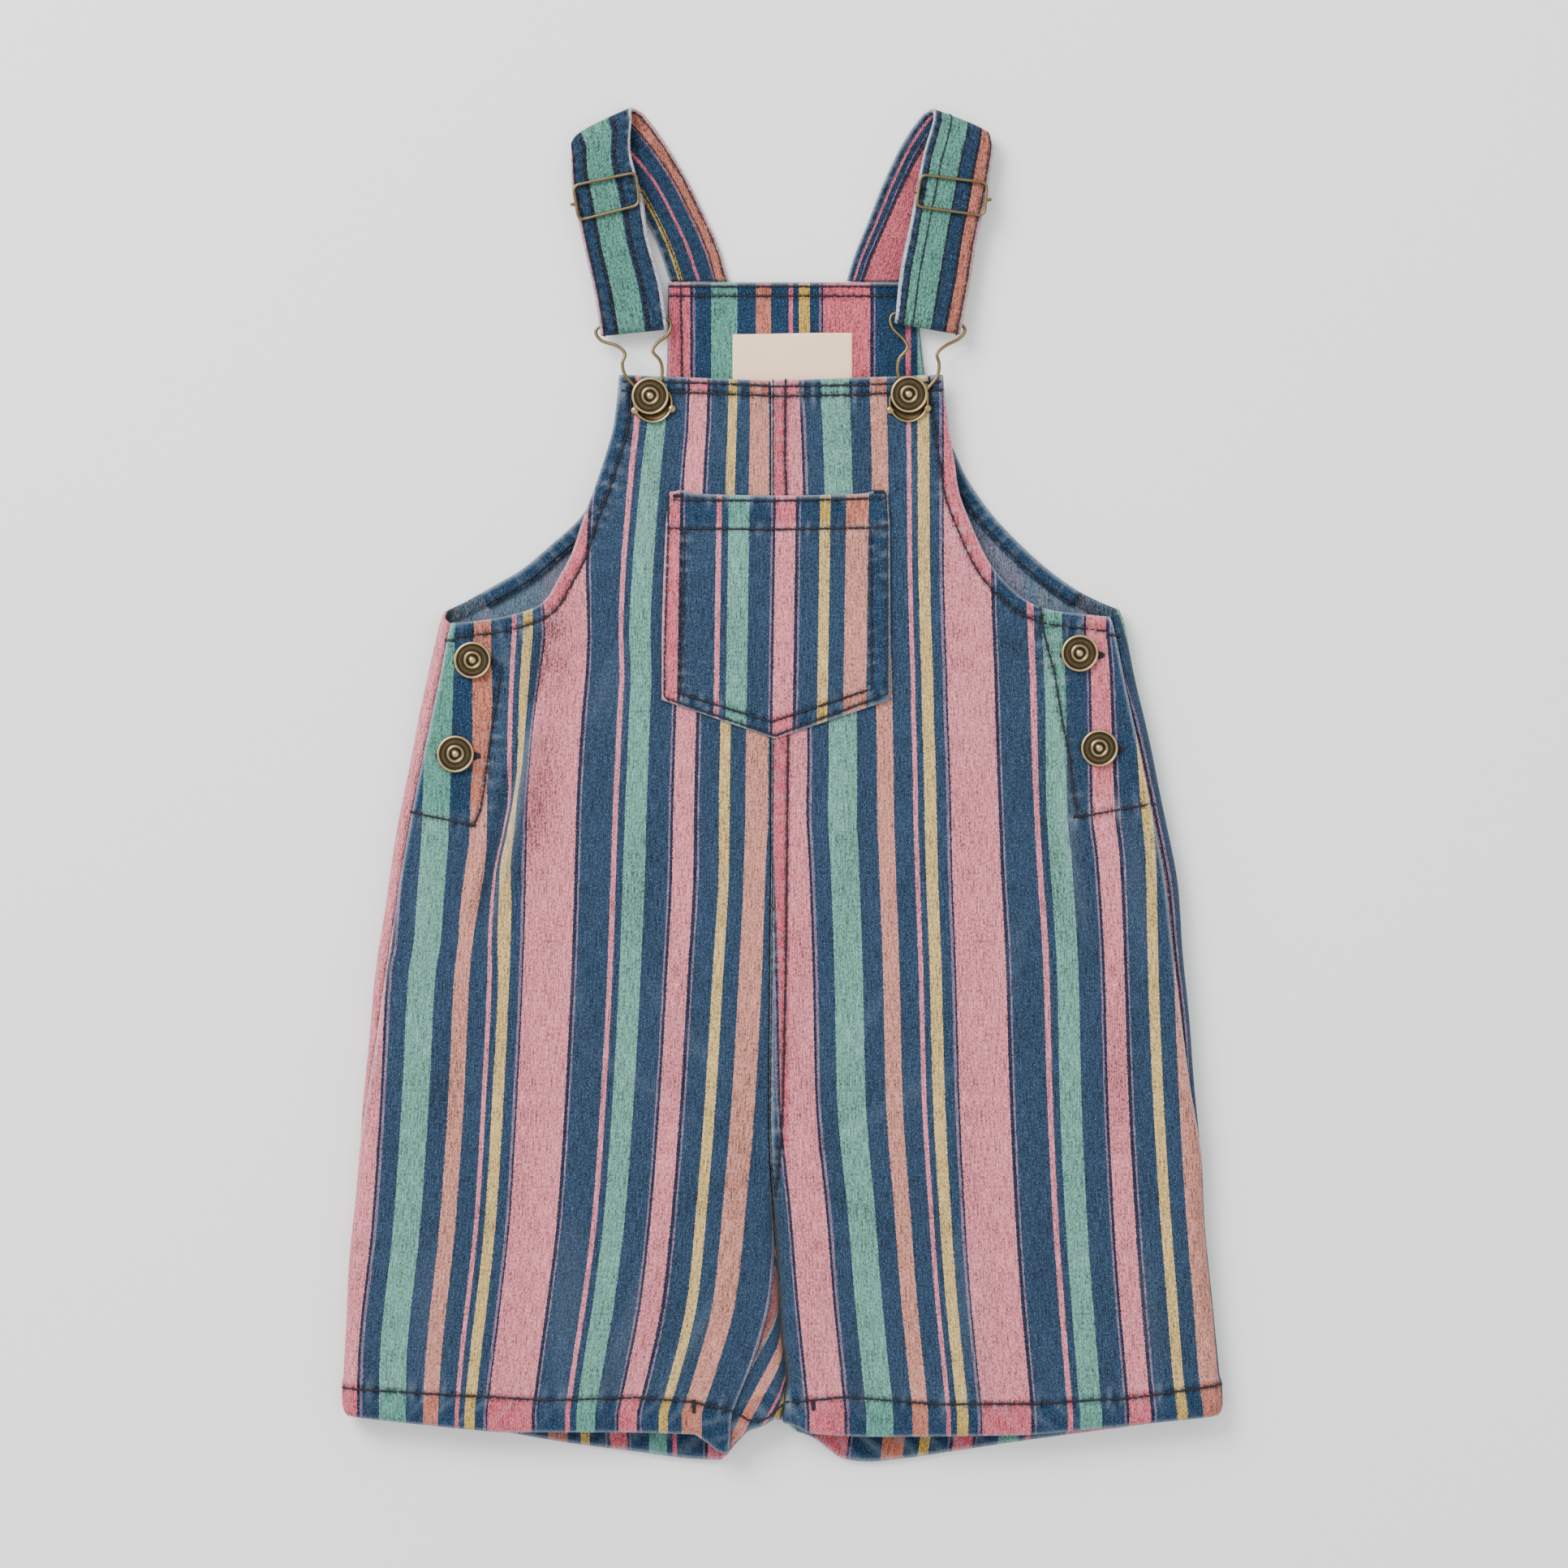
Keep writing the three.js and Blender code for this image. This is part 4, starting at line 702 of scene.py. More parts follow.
def frontRelief(side, across, y):
    # how far sewing lifts or pulls down the face, with its wear, painted shade of grooves and creases, a
    # painted highlight on fold ridges and the deeper colour of turned cloth
    lift, wearAndHighlight, groove = np.zeros_like(across), np.zeros_like(across), np.zeros_like(across)
    for n, (key, path) in enumerate(unrolledRows[side].items()):
        off, run = nearest(across, y, path)
        gather = puckers(run, n + sign[side])
        wide = key in ("armhole", "hem", "top", "placket")
        reach = sewing["reach"] if wide else 0.5 * sewing["reach"]
        near = hump(off, reach)
        lift += -sewing["groove"] * hump(off, 1.1) + sewing["pucker"] * gather * near
        wearAndHighlight += (0.45 if wide else 0.25) * np.maximum(gather - 0.25, 0) * near
        # painted shade along each row of stitches
        groove = np.maximum(groove, sewing["shade"] * hump(off, 1.3 if wide else 0.9))
    off, _ = nearest(across, y, armEdge[side])
    top, _ = nearest(across, y, topEdge[side])
    hem, hemRun = nearest(across, y, hemEdge[side])
    for gap, width in ((off, 6.4), (top, 6.6), (hem, 16.5)):
        lift += 0.5 * ease((width - gap) / 1.8) - 0.55 * hump(gap, 0.9)
        wearAndHighlight += 0.6 * hump(gap, 0.75)
    roping = np.sin((hemRun + 0.8 * hem) / 1.7 + 1.7 * np.sin(hemRun / 12.0))
    inHem = hump(hem - 8, 7)
    uneven = 0.6 + 0.4 * np.sin(hemRun / 17.0 + 1.0)
    lift += 0.2 * roping * inHem * uneven
    wearAndHighlight += 0.3 * np.maximum(roping - 0.4, 0) * inHem * uneven
    keptDyeAndShade = np.maximum(0.55 * ease((cut["hemFold"] - hem) / 2),
                       0.5 * ease((cut["topFold"] - np.minimum(off, top)) / 2))
    beyond = sign[side] * (across - placketRow[side](y))
    inPlacket = ease(beyond / 1.5 + 0.5) * ease((y + 14.5) / 1.5)
    keptDyeAndShade = np.maximum(keptDyeAndShade, sewing["placketDye"][side] * inPlacket)
    # painted shade in the valleys of the small creases; on their ridges, rubbed wear and a painted highlight
    fold = creaseRise(smallCreases, across, y)
    groove = np.maximum(groove, 0.5 * np.clip(-fold / 1.3, 0, 1))
    wearAndHighlight += 0.3 * np.clip(fold / 2 - 0.1, 0, 1)
    if side == "left":
        inside = ease((across + 4.9) / 0.6) * ease((3.2 - across) / 1.2) * ease((y + 176) / 30)
        lift += 0.5 * inside
        keptDyeAndShade = np.maximum(keptDyeAndShade, 0.7 * inside)
        wearAndHighlight += 0.55 * hump(across + 4.5, 0.9) * ease((y + 180) / 20)
        wearAndHighlight += 0.25 * inside * np.maximum(puckers(y, 4.0), 0)
    return lift, {"wearAndHighlight": wearAndHighlight, "groove": groove, "keptDyeAndShade": keptDyeAndShade}


def frontPanel(side):
    u = unevenSteps((0, 0.055, 0.945, 1), (cut["edgeColumns"], cut["columns"], cut["edgeColumns"]))[None, :]
    path = curvedPath(frontArmhole[side])
    underarm = frontArmhole[side][-1][1]
    share = unevenSteps((0, 0.06, 1), (8, cut["bibRows"]), closed=False)[:, None]
    edge = path(share[:, 0])
    yBib = mix(mix(cut["bibTop"], cut["rowTilt"], share), edge[:, 1:2], u)
    placeBib = placeOnFront(side, yBib, edge[:, 0:1] + 0 * u) * u
    down = unevenSteps((0, 0.93, 1), (cut["bodyRows"], cut["hemRows"]))[:, None]
    hemPlace = mix(inseam(side, cut["forkLow"] * 1.4), sideSeam(side, cut["hemLevel"]), u)
    hemX = skin(side, hemPlace, cut["hemLevel"] + 0 * hemPlace)[..., 0]
    yBody = mix(mix(cut["rowTilt"], underarm, u), frontHem(hemX), down)
    low, high = inseam(side, yBody), sideSeam(side, yBody)
    placeBody = np.clip(mix(low, high, u), low + cut["seamGap"] / 2, high - cut["seamGap"] / 2)
    y, place = np.vstack([yBib, yBody]), np.vstack([placeBib, placeBody])
    across = unrolled(side, place, y)
    topEdge[side] = np.stack([across[0], y[0]], -1)
    hemEdge[side] = np.stack([across[-1], y[-1]], -1)
    lift, looks = frontRelief(side, across, y)
    # the side seam's turned edge stands up a little and is rubbed
    seam = np.where(y > cut["rowTilt"] + 12, 99, 0) + np.maximum(sideSeam(side, y) - place, 0)
    lift += 0.35 * ease((3.4 - seam) / 1.2) * ease((y + 190) / 40)
    looks["wearAndHighlight"] += 0.9 * hump(seam, 0.9) * ease((y + 230) / 60)
    low = np.maximum(place - inseam(side, y), 0) + np.where(y > -176, 99, 0)
    looks["wearAndHighlight"] += 0.6 * hump(low, 0.9)
    normal = facing(side, place, y)
    outer = skin(side, place, y) + normal * lift[..., None]
    topGap, hemGap = y[0][None, :] - y, y - y[-1][None, :]
    thick = np.full_like(y, cut["cloth"]) + (cut["hemCloth"] - cut["cloth"]) * np.maximum(
        ease((cut["hemFold"] - hemGap) / 3), ease((cut["topFold"] - topGap) / 2))
    uv = np.stack([frontStripe(side, across, y), y], -1)
    return clothWall(f"front_{side}_cloth", outer, normal, thick, uv, looks, [denim, denimInside],
                     rim=(0.05, 0.5, 0.3, 0.5), turned=(hemGap < cut["hemFold"]) | (topGap < cut["topFold"]))


seamStripe = smoothTable([(76, 20), (18, 14.6), (-87, 14.2), (-180, 20), (-280, 26)])


def backStripe(side, back, y):
    # right: read on the roll at the inner leg, inside the hem and at the side, left: at the side and hem
    s = section(side, y)
    atSeam = s["total"] - sideSeam(side, y)
    if side == "right":
        x = -s["inner"] + back
        near = 43.9 + 1.3 * (x + 1.05 - 0.5347 * (y + 233.3))
        wide = mix(54.75 + 0.05 * (y + 257), 281.0, np.clip(back / atSeam, -0.2, 1))
        low = ease((-195 - y) / 25) * ease((18 - back) / 22)
        return mix(wide, near, low)
    return seamStripe(y) + 1.03 * (atSeam - back)


def backPanel(side):
    u = unevenSteps((0, 0.14, 0.86, 1), (26, 56, 26))[None, :]
    path = curvedPath(backArmhole[side])
    underarm = frontArmhole[side][-1][1]
    rows = np.linspace(0, 9, 63, endpoint=False)[:, None]
    edge = path(rows[:, 0] / 9)
    yBib = mix(mix(cut["backTop"], cut["rowTilt"], rows / 10), edge[:, 1:2], u)
    backBib = (edge[:, 0:1] - section(side, yBib)["inner"]) * u
    blend = np.linspace(0, 1, 7, endpoint=False)[:, None]

    def seamBack(y):
        return section(side, y)["total"] - sideSeam(side, y) - cut["seamGap"] / 2

    y9 = mix(mix(cut["backTop"], cut["rowTilt"], 0.9), path(np.array([1.0]))[0, 1], u)
    b9 = (path(np.array([1.0]))[0, 0] - section(side, y9)["inner"]) * u
    y10 = mix(cut["rowTilt"], underarm, u)
    b10 = seamBack(y10) * u
    yTurn, backTurn = mix(y9, y10, blend), mix(b9, b10, blend)
    down = unevenSteps((0, 0.93, 1), (120, 16))[:, None]
    level = cut["hemLevel"]
    total = section(side, level)["total"]
    ends = (-float(inseam(side, level)), float(total - sideSeam(side, level)))
    hemX = skin(side, total - mix(ends[0], ends[1], u), level + 0 * u)[..., 0]
    yBody = mix(y10, backHem(hemX), down)
    backBody = mix(-inseam(side, yBody) + cut["seamGap"] / 2, seamBack(yBody), u)
    y, back = np.vstack([yBib, yTurn, yBody]), np.vstack([backBib, backTurn, backBody])
    place = section(side, y)["total"] - back
    normal = facing(side, place - 0.05, y)
    hemGap = y - y[-1][None, :]
    topGap = y[0][None, :] - y
    roping = np.sin((back + 0.9 * hemGap) / 1.8 + 1.4 * np.sin(back / 13.0))
    inHem = hump(hemGap - 8, 7)
    lift = 0.15 * roping * inHem * (normal[..., 2] > -0.5)
    wearAndHighlight = 0.8 * hump(hemGap, 1.1) + 0.8 * hump(topGap, 1.0) + 0.3 * inHem * np.maximum(roping, 0)
    # the bib's rows and the first few of the body's
    upper = slice(0, 75)
    off, _ = nearest(back[upper], y[upper], np.stack([backBib[:, -1], yBib[:, -1]], -1))
    wearAndHighlight[upper] += 0.8 * hump(off, 1.2)
    # the back lies a little lower beside the side seam, and is painted with shade there
    beside = np.where(y > cut["rowTilt"] + 14, 99, 0) + np.maximum(seamBack(y) - back, 0)
    lift -= 0.45 * hump(beside, 2.2) * ease((y + 200) / 40)
    groove = 0.7 * hump(beside, 1.3) * ease((y + 200) / 40)
    # past the band, the armhole's turned edge goes on as dark cloth to the side corner
    edgeShade = 0.75 * ease((7.3 - off) / 1.2) + 0.25 * hump(off - 5.9, 0.8)
    groove[upper] = np.maximum(groove[upper], ease((86 - y[upper]) / 2) * edgeShade)
    # painted shade along the back's inseam edge, in the gap at the crotch
    beyond = np.maximum(back + inseam(side, y), 0) + np.where(y > -180, 99, 0)
    groove = np.maximum(groove, 0.8 * hump(beyond, 1.6))
    outer = skin(side, place, y) + normal * lift[..., None]
    thick = cut["cloth"] + (cut["hemCloth"] - cut["cloth"]) * ease((cut["hemFold"] - hemGap) / 3)
    stripe = backStripe(side, back, y)
    uv = np.stack([stripe, y], -1)
    # where the right back's pink wedge shows at the crotch, it is painted darker, as pink lying in shade
    shadedWedgeMask = ease((35.9 - stripe) / 1.2) * (y < -180) * (back < 14) if side == "right" else 0 * y
    return clothWall(f"back_{side}_cloth", outer, normal, thick, uv,
                     {"wearAndHighlight": wearAndHighlight, "groove": groove, "keptDyeAndShade": 0.7 * ease((cut["hemFold"] - hemGap) / 2),
                      "shadedWedgeMask": shadedWedgeMask},
                     [denim, denimInside], rim=(0.05, 0.5, 0.3, 0.5), turned=hemGap < cut["hemFold"])


def finishPiece(piece, node):
    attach(piece, "root")
    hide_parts(node)
    return piece


for side in sides:
    finishPiece(frontPanel(side), f"front_{side}")
    finishPiece(backPanel(side), f"back_{side}")
print("fronts and backs made")


# pieces that lie on the front and inside the back
pocket = {"high": 126.0, "low": 36.5, "thick": 1.1, "pointX": -3.2, "pointY": 19.8, "belly": 0.8}
pocketLeft = smoothTable([(126, -48.5), (110, -50.2), (53, -51.8), (36.5, -51.8)])
pocketRight = smoothTable([(126, 45.2), (110, 46.2), (53, 46.4), (36.5, 46.2)])
pocketRows = {
    "side": seen([(823.6, 612), (823.6, 652), (819, 814), (819, 860), (955, 906.5), (1093, 855), (1093, 650),
                  (1091, 610)]),
    "inner": seen([(843.6, 655), (838.8, 854.5), (950, 889.7), (1074, 848.5), (1072.7, 655)]),
    "hem": seen([(826, 651), (955, 652.5), (1092, 650)]),
    "mouth": seen([(832, 616), (955, 617), (1088, 614)]),
}


def pocketDrop(x, v):
    left, right = float(pocketLeft(pocket["low"])), float(pocketRight(pocket["low"]))
    half = np.where(x < pocket["pointX"], pocket["pointX"] - left, right - pocket["pointX"])
    return (pocket["pointY"] - pocket["low"]) * (1 - np.abs(x - pocket["pointX"]) / half) * v


def topOf(x, y):
    return heightAt(y) + frontRise(x, y)


def pocketRelief(x, y):
    lift, wearAndHighlight, groove = np.zeros_like(x), np.zeros_like(x), np.zeros_like(x)
    for n, path in enumerate(pocketRows.values()):
        off, run = nearest(x, y, np.array(path))
        gather = puckers(run, n + 3.0)
        lift += -0.28 * hump(off, 1.0) + 0.22 * gather * hump(off, 3.0)
        wearAndHighlight += 0.35 * np.maximum(gather - 0.2, 0) * hump(off, 3.0)
        # painted shade along each row of the pocket's stitches
        groove = np.maximum(groove, sewing["shade"] * hump(off, 0.9))
    return lift, {"wearAndHighlight": wearAndHighlight, "groove": groove}


def chestPocket():
    u = unevenSteps((0, 0.08, 0.92, 1), (9, 56, 9))[None, :]
    v = unevenSteps((0, 0.18, 0.94, 1), (16, 50, 8))[:, None]
    level = mix(pocket["high"], pocket["low"], v)
    x = mix(pocketLeft(level), pocketRight(level), u)
    straight = mix(pocketLeft(pocket["low"]), pocketRight(pocket["low"]), u)
    y = level + pocketDrop(straight, v) + 0 * x
    # the mouth sags a little between its corners, which stand up as small tabs
    mouth = ease((10 - (pocket["high"] - y)) / 10)
    y = y - mouth * (1.6 * np.sin(math.pi * u)**0.7 - 1.2 * hump(u - 0.05, 0.03)
                     - 1.2 * hump(u - 0.95, 0.03))
    lift, looks = pocketRelief(x, y)
    side = np.minimum(x - pocketLeft(level), pocketRight(level) - x)
    gap = np.minimum(side, np.minimum((1 - v) * 90 + 0 * x, v * 90 + 0 * x))
    lift += 0.35 * ease((8.5 - side) / 1.5) - 0.35 * hump(gap, 0.8)
    looks["wearAndHighlight"] += 0.6 * hump(gap, 0.8)
    looks["keptDyeAndShade"] = 0.5 * np.maximum(ease((14 - (pocket["high"] - y)) / 1.5), ease((9 - gap) / 2))
    belly = pocket["belly"] * np.sin(math.pi * u) * np.sin(math.pi * v)
    z = topOf(x, y) + cut["liftOff"] + pocket["thick"] + 0.3 + lift + belly
    outer = np.stack([x, y, z], -1)
    normal = np.broadcast_to(np.array([0, 0, 1.0]), outer.shape)
    uv = np.stack([116.1 + (x + 23.8) - 0.015 * (y - 80), y], -1)
    return clothWall("chest_pocket_cloth", outer, normal, pocket["thick"], uv, looks, [denim, denimInside],
                     rim=(0.4, 0.5, 0.4, 0.4))


finishPiece(chestPocket(), "chest_pocket")

facingSize = {"low": 150.0, "thick": 1.1, "floor": 1.8}
backOut = {side: smoothTable([(y, out) for out, y in backArmhole[side]]) for side in sides}


def facingBase(x, y):
    return facingSize["floor"] + facingSize["thick"] + 0.4 + 0.3 * np.sin(x / 11 + np.sin(y / 14))


def facingHeight(x, y):
    topGap = cut["backTop"] - y
    z = facingBase(x, y)
    z -= 0.3 * hump(topGap - 6, 1.0) + 0.4 * hump(topGap, 0.9)
    return z + 0.2 * puckers(x + 100, 5.0) * hump(topGap - 6, 4)


def backFacing():
    u = np.linspace(0, 1, 78)[None, :]
    v = np.linspace(0, 1, 52)[:, None]
    y = mix(cut["backTop"] - 0.2, facingSize["low"], v) + 0 * u
    x = mix(-(backOut["right"](y) - 0.6), backOut["left"](y) - 0.6, u)
    topGap = cut["backTop"] - y
    side = np.minimum(x + backOut["right"](y), backOut["left"](y) - x)
    z = facingHeight(x, y)
    wearAndHighlight = 0.7 * hump(topGap, 0.8) + 0.6 * hump(side, 0.9)
    # painted shade along the facing's three rows of stitches
    groove = 0.8 * np.maximum(hump(topGap - 6, 0.9), hump(topGap - 1.9, 0.7))
    groove = np.maximum(groove, 0.7 * hump(x + 44.0, 0.8))
    outer = np.stack([x, y, z], -1)
    normal = np.broadcast_to(np.array([0, 0, 1.0]), outer.shape)
    uv = np.stack([24.3 + 1.03 * (x + 30.8), y], -1)
    # painted shade: the whole facing's colour is made deeper and darker, a little more along its top
    return clothWall("back_facing_cloth", outer, normal, facingSize["thick"], uv,
                     {"wearAndHighlight": wearAndHighlight, "groove": groove, "keptDyeAndShade": mix(0.6, 0.7, ease((9 - topGap) / 2))},
                     [denim, denimInside], rim=(0.4, 0.5, 0.4, 0.3))


finishPiece(backFacing(), "back_facing")

label = {"left": -21.4, "right": 30.1, "top": 194.8, "low": 168.0, "thick": 0.6, "border": 2.2}


def neckLabel():
    u, v = np.linspace(0, 1, 44)[None, :], np.linspace(0, 1, 24)[:, None]
    x = mix(label["left"], label["right"], u) + 0 * v
    y = mix(label["top"], label["low"], v) + 0 * u + 0.3 * np.sin(x / 15)
    z = facingBase(x, y) + label["thick"] + 0.35 + 0.15 * np.sin(x / 6 + 1) * np.sin(y / 7)
    gap = np.minimum(np.minimum(x - label["left"], label["right"] - x), label["top"] - y)
    z = z - 0.25 * hump(gap, 0.9) - 0.22 * hump(gap - label["border"], 0.5)
    outer = np.stack([x, y, z], -1)
    normal = np.broadcast_to(np.array([0, 0, 1.0]), outer.shape)
    return clothWall("neck_label_cloth", outer, normal, label["thick"], np.stack([x, y], -1), {"wearAndHighlight": 0.0},
                     [labelCotton], rim=(0.3, 0.3, 0.3, 0.3))


finishPiece(neckLabel(), "neck_label")

band = {"width": 7.0, "thick": 0.9, "end": 0.83, "top": 146.0, "stripe": 99.0, "rowInset": 5.6}


def armholeBand(side):
    path = curvedPath([row for row in backArmhole[side] if row[1] < band["top"]])
    share = mix(0.01, band["end"], np.linspace(0, 1, 70))
    at = path(share)
    ahead = path(np.minimum(share + 0.004, 1)) - path(np.maximum(share - 0.004, 0))
    ahead /= np.linalg.norm(ahead, axis=1, keepdims=True)
    inward = np.stack([ahead[:, 1], -ahead[:, 0]], -1)
    u = np.linspace(0, 1, 9)
    spot = at[:, None, :] + inward[:, None, :] * (band["width"] * u[None, :, None] + cut["seamGap"])
    y = spot[..., 1]
    s = section(side, y)
    c = s["total"] - (spot[..., 0] - s["inner"])
    normal = facing(side, c, y)
    run = share * path.length
    lift = 0.25 * puckers(run, 2.0)[:, None] * np.sin(math.pi * u)[None, :]
    outer = skin(side, c, y) - normal * (cut["innerFace"] + cut["liftOff"])
    width = band["width"] * u[None, :]
    wearAndHighlight = 0.7 * hump(width, 0.9) + 0.22 * np.maximum(puckers(run, 2.0) - 0.2, 0)[:, None]
    uv = np.stack(np.broadcast_arrays(band["stripe"] + width, run[:, None]), -1)
    # painted shade along the band's row of stitches; the whole band's colour is also a little deeper
    groove = 0.7 * hump(u[None, :] - 0.8, 0.12)
    return clothWall(f"armhole_band_{side}_cloth", outer, normal, band["thick"] + lift, uv,
                     {"wearAndHighlight": wearAndHighlight, "groove": groove, "keptDyeAndShade": 0.5},
                     [denim], rim=(0.3, 0.3, 0.3, 0.3))


underlap = {"top": 57.0, "low": -14.0, "inside": 20.0, "outside": 3.0, "thick": 1.1, "stripe": 99.0}


def underlapStrip(side):
    u, v = np.linspace(0, 1, 16)[None, :], np.linspace(0, 1, 40)[:, None]
    y = mix(underlap["top"], underlap["low"], v) + 0 * u
    c = sideSeam(side, y) + mix(-underlap["inside"], underlap["outside"], u)
    normal = facing(side, c, y)
    outer = skin(side, c, y) - normal * (cut["innerFace"] + cut["liftOff"])
    uv = np.stack(np.broadcast_arrays(underlap["stripe"] + 12 * u, y), -1)
    return clothWall(f"underlap_{side}_cloth", outer, normal, underlap["thick"], uv, {"wearAndHighlight": 0.2}, [denim],
                     rim=(0.3, 0.3, 0.3, 0.3))


for side in sides:
    finishPiece(armholeBand(side), f"armhole_band_{side}")
    finishPiece(underlapStrip(side), f"underlap_{side}")
print("pocket, facing, label, bands and underlaps made")


# straps
strap = {"back": 1.15, "front": 7.6, "slider": 8.0, "under": 4.6, "bar": 6.7, "loop": 2.1, "thick": 1.9,
         "drift": 5.0, "swell": {"right": 3.8, "left": 1.8}, "corner": 2.4, "width": 29, "stripes": 29.6}
strapRows = {
    "right": {
        "back": [(-48.7, 218, -23.4, 218), (-53.2, 231.5, -28, 233.3), (-59, 244.5, -34.3, 247.3),
                 (-67.5, 258, -42.7, 264), (-79, 267.5, -53.5, 281.3)],
        "roll": (-91.5, 273.2, -65, 292),
        "front": [(-91.6, 268, -67.4, 287), (-91, 259.5, -65.8, 274.5), (-88.6, 246.5, -61.2, 255),
                  (-85, 230, -58, 236), (-81, 212, -52.7, 217)],
        "loop": (-78.3, 194.4, -50, 197.3),
        "bar": ((-92, 250), (-60, 256.2)),
    },
    "left": {
        "back": [(51.8, 218, 28, 218), (56, 228, 31, 228), (62, 239.5, 36.6, 242), (69.8, 253, 44.2, 261),
                 (78.5, 266, 52.5, 278)],
        "roll": (90.6, 278.4, 64.6, 291.4),
        "front": [(91.3, 273, 64.5, 285), (89.6, 263, 61, 272), (87.2, 250, 57.8, 256), (84, 236, 55, 241),
                  (80.8, 216, 50.8, 220)],
        "loop": (76.7, 195, 48.6, 200),
        "bar": ((56.2, 255.8), (91, 252.2)),
    },
}
# stripes across each strap, from the outer edge in, in millimetres of its 29 mm
strapFace = {
    "right": [(0, "widePink"), (1.1, "navy"), (1.8, "blue"), (6.0, "ink"), (7.9, "green"), (19.4, "blue"),
              (20.2, "ink"), (22.3, "blue"), (27.2, "navy"), (27.9, "pale")],
    "left": [(0, "orange"), (6.2, "ink"), (7.6, "blue"), (12.2, "ink"), (13.2, "green"), (25, "ink"),
             (26, "blue"), (28, "pale")],
}
strapWrong = {
    "right": [(0, "blue"), (4.3, "yellow"), (6.6, "blue"), (13.4, "thinPink"), (14.9, "blue"),
              (21.6, "mauve"), (22.4, "orange")],
    "left": [(0, "widePink"), (20.6, "navy"), (21.8, "mauve"), (22.4, "blue"), (24.8, "thinPink"),
             (26, "blue")],
}


def halfTurn(line, away, radius, zFrom, zTo, drift=0.0, steps=6):
    # the strap also slides along the fold line while it turns over
    fold = np.array([line[2] - line[0], line[3] - line[1]])
    fold /= np.linalg.norm(fold)
    keys = []
    for n in range(steps + 1):
        turn = math.pi * (n / steps - 0.5)
        back = radius * (1 - math.cos(turn))
        z = (zFrom + zTo) / 2 + (zTo - zFrom) / 2 * math.sin(turn)
        slide = -drift * turn / math.pi
        dx, dy = fold[0] * slide - away[0] * back, fold[1] * slide - away[1] * back
        keys.append((line[0] + dx, line[1] + dy, line[2] + dx, line[3] + dy, z))
    return keys


def strapEdges(side):
    rows = strapRows[side]

    def awayFrom(line, up):
        d = np.array([line[0] - line[2], line[1] - line[3]])
        d /= np.linalg.norm(d)
        a = np.array([-d[1], d[0]])
        return a if (a[1] > 0) == up else -a

    def middle(row):
        return (row[1] + row[3]) / 2

    barY = (rows["bar"][0][1] + rows["bar"][1][1]) / 2
    run = [(*row, strap["slider"] if abs(middle(row) - barY) < 3 else strap["front"])
           for row in rows["front"][1:]]
    under = [(*row, strap["under"]) for row in reversed(rows["front"]) if middle(row) < barY - 2]
    ends = rows["bar"] if side == "right" else rows["bar"][::-1]
    (ax, ay), (bx, by) = ends
    slope = (by - ay) / (bx - ax)
    ox, ix = ax - sign[side] * 3.2, bx + sign[side] * 3.2
    last = (ox, ay + slope * (ox - ax) - 1.3, ix, ay + slope * (ix - ax) - 1.3, strap["under"])
    keys = [(*row, strap["back"]) for row in rows["back"]]
    keys += halfTurn(rows["roll"], awayFrom(rows["roll"], True), (strap["front"] - strap["back"]) / 2,
                     strap["back"], strap["front"], drift=strap["drift"])
    keys += run
    keys += halfTurn(rows["loop"], awayFrom(rows["loop"], False), strap["loop"], strap["bar"] + strap["loop"],
                     strap["bar"] - strap["loop"])
    keys += under + [last]
    keys = np.array(keys)
    return spreadPath(keys[:, [0, 1, 4]]), spreadPath(keys[:, [2, 3, 4]]), len(keys)


def strapSurface(side, u, t):
    outerEdge, innerEdge, count = strapEdges(side)
    step = 0.001
    o, i = outerEdge(t), innerEdge(t)
    ahead = (outerEdge(np.minimum(1, t + step)) + innerEdge(np.minimum(1, t + step))
             - outerEdge(np.maximum(0, t - step)) - innerEdge(np.maximum(0, t - step)))
    n = np.cross(ahead, i - o)
    n = n / np.linalg.norm(n, axis=1, keepdims=True) * sign[side]
    # the roll swells outwards across the strap and is rounder at its outer corner
    x0, y0, x1, y1 = strapRows[side]["roll"]
    away = np.array([-(y1 - y0), x1 - x0, 0]) * -sign[side] / math.hypot(x1 - x0, y1 - y0)
    near = hump(t * (count - 1) - 8, 2.6)
    swell = strap["swell"][side] * near[:, None] * np.sin(math.pi * u**0.5)[None, :]
    corner = strap["corner"] * near[:, None] * hump(strap["width"] * u, 3.5)[None, :]
    inwards = (i - o) / np.linalg.norm(i - o, axis=1, keepdims=True)
    middle = (o[:, None, :] + (i - o)[:, None, :] * u[None, :, None] + away * swell[..., None]
              + inwards[:, None, :] * corner[..., None])
    return middle, np.repeat(n[:, None, :], len(u), 1)


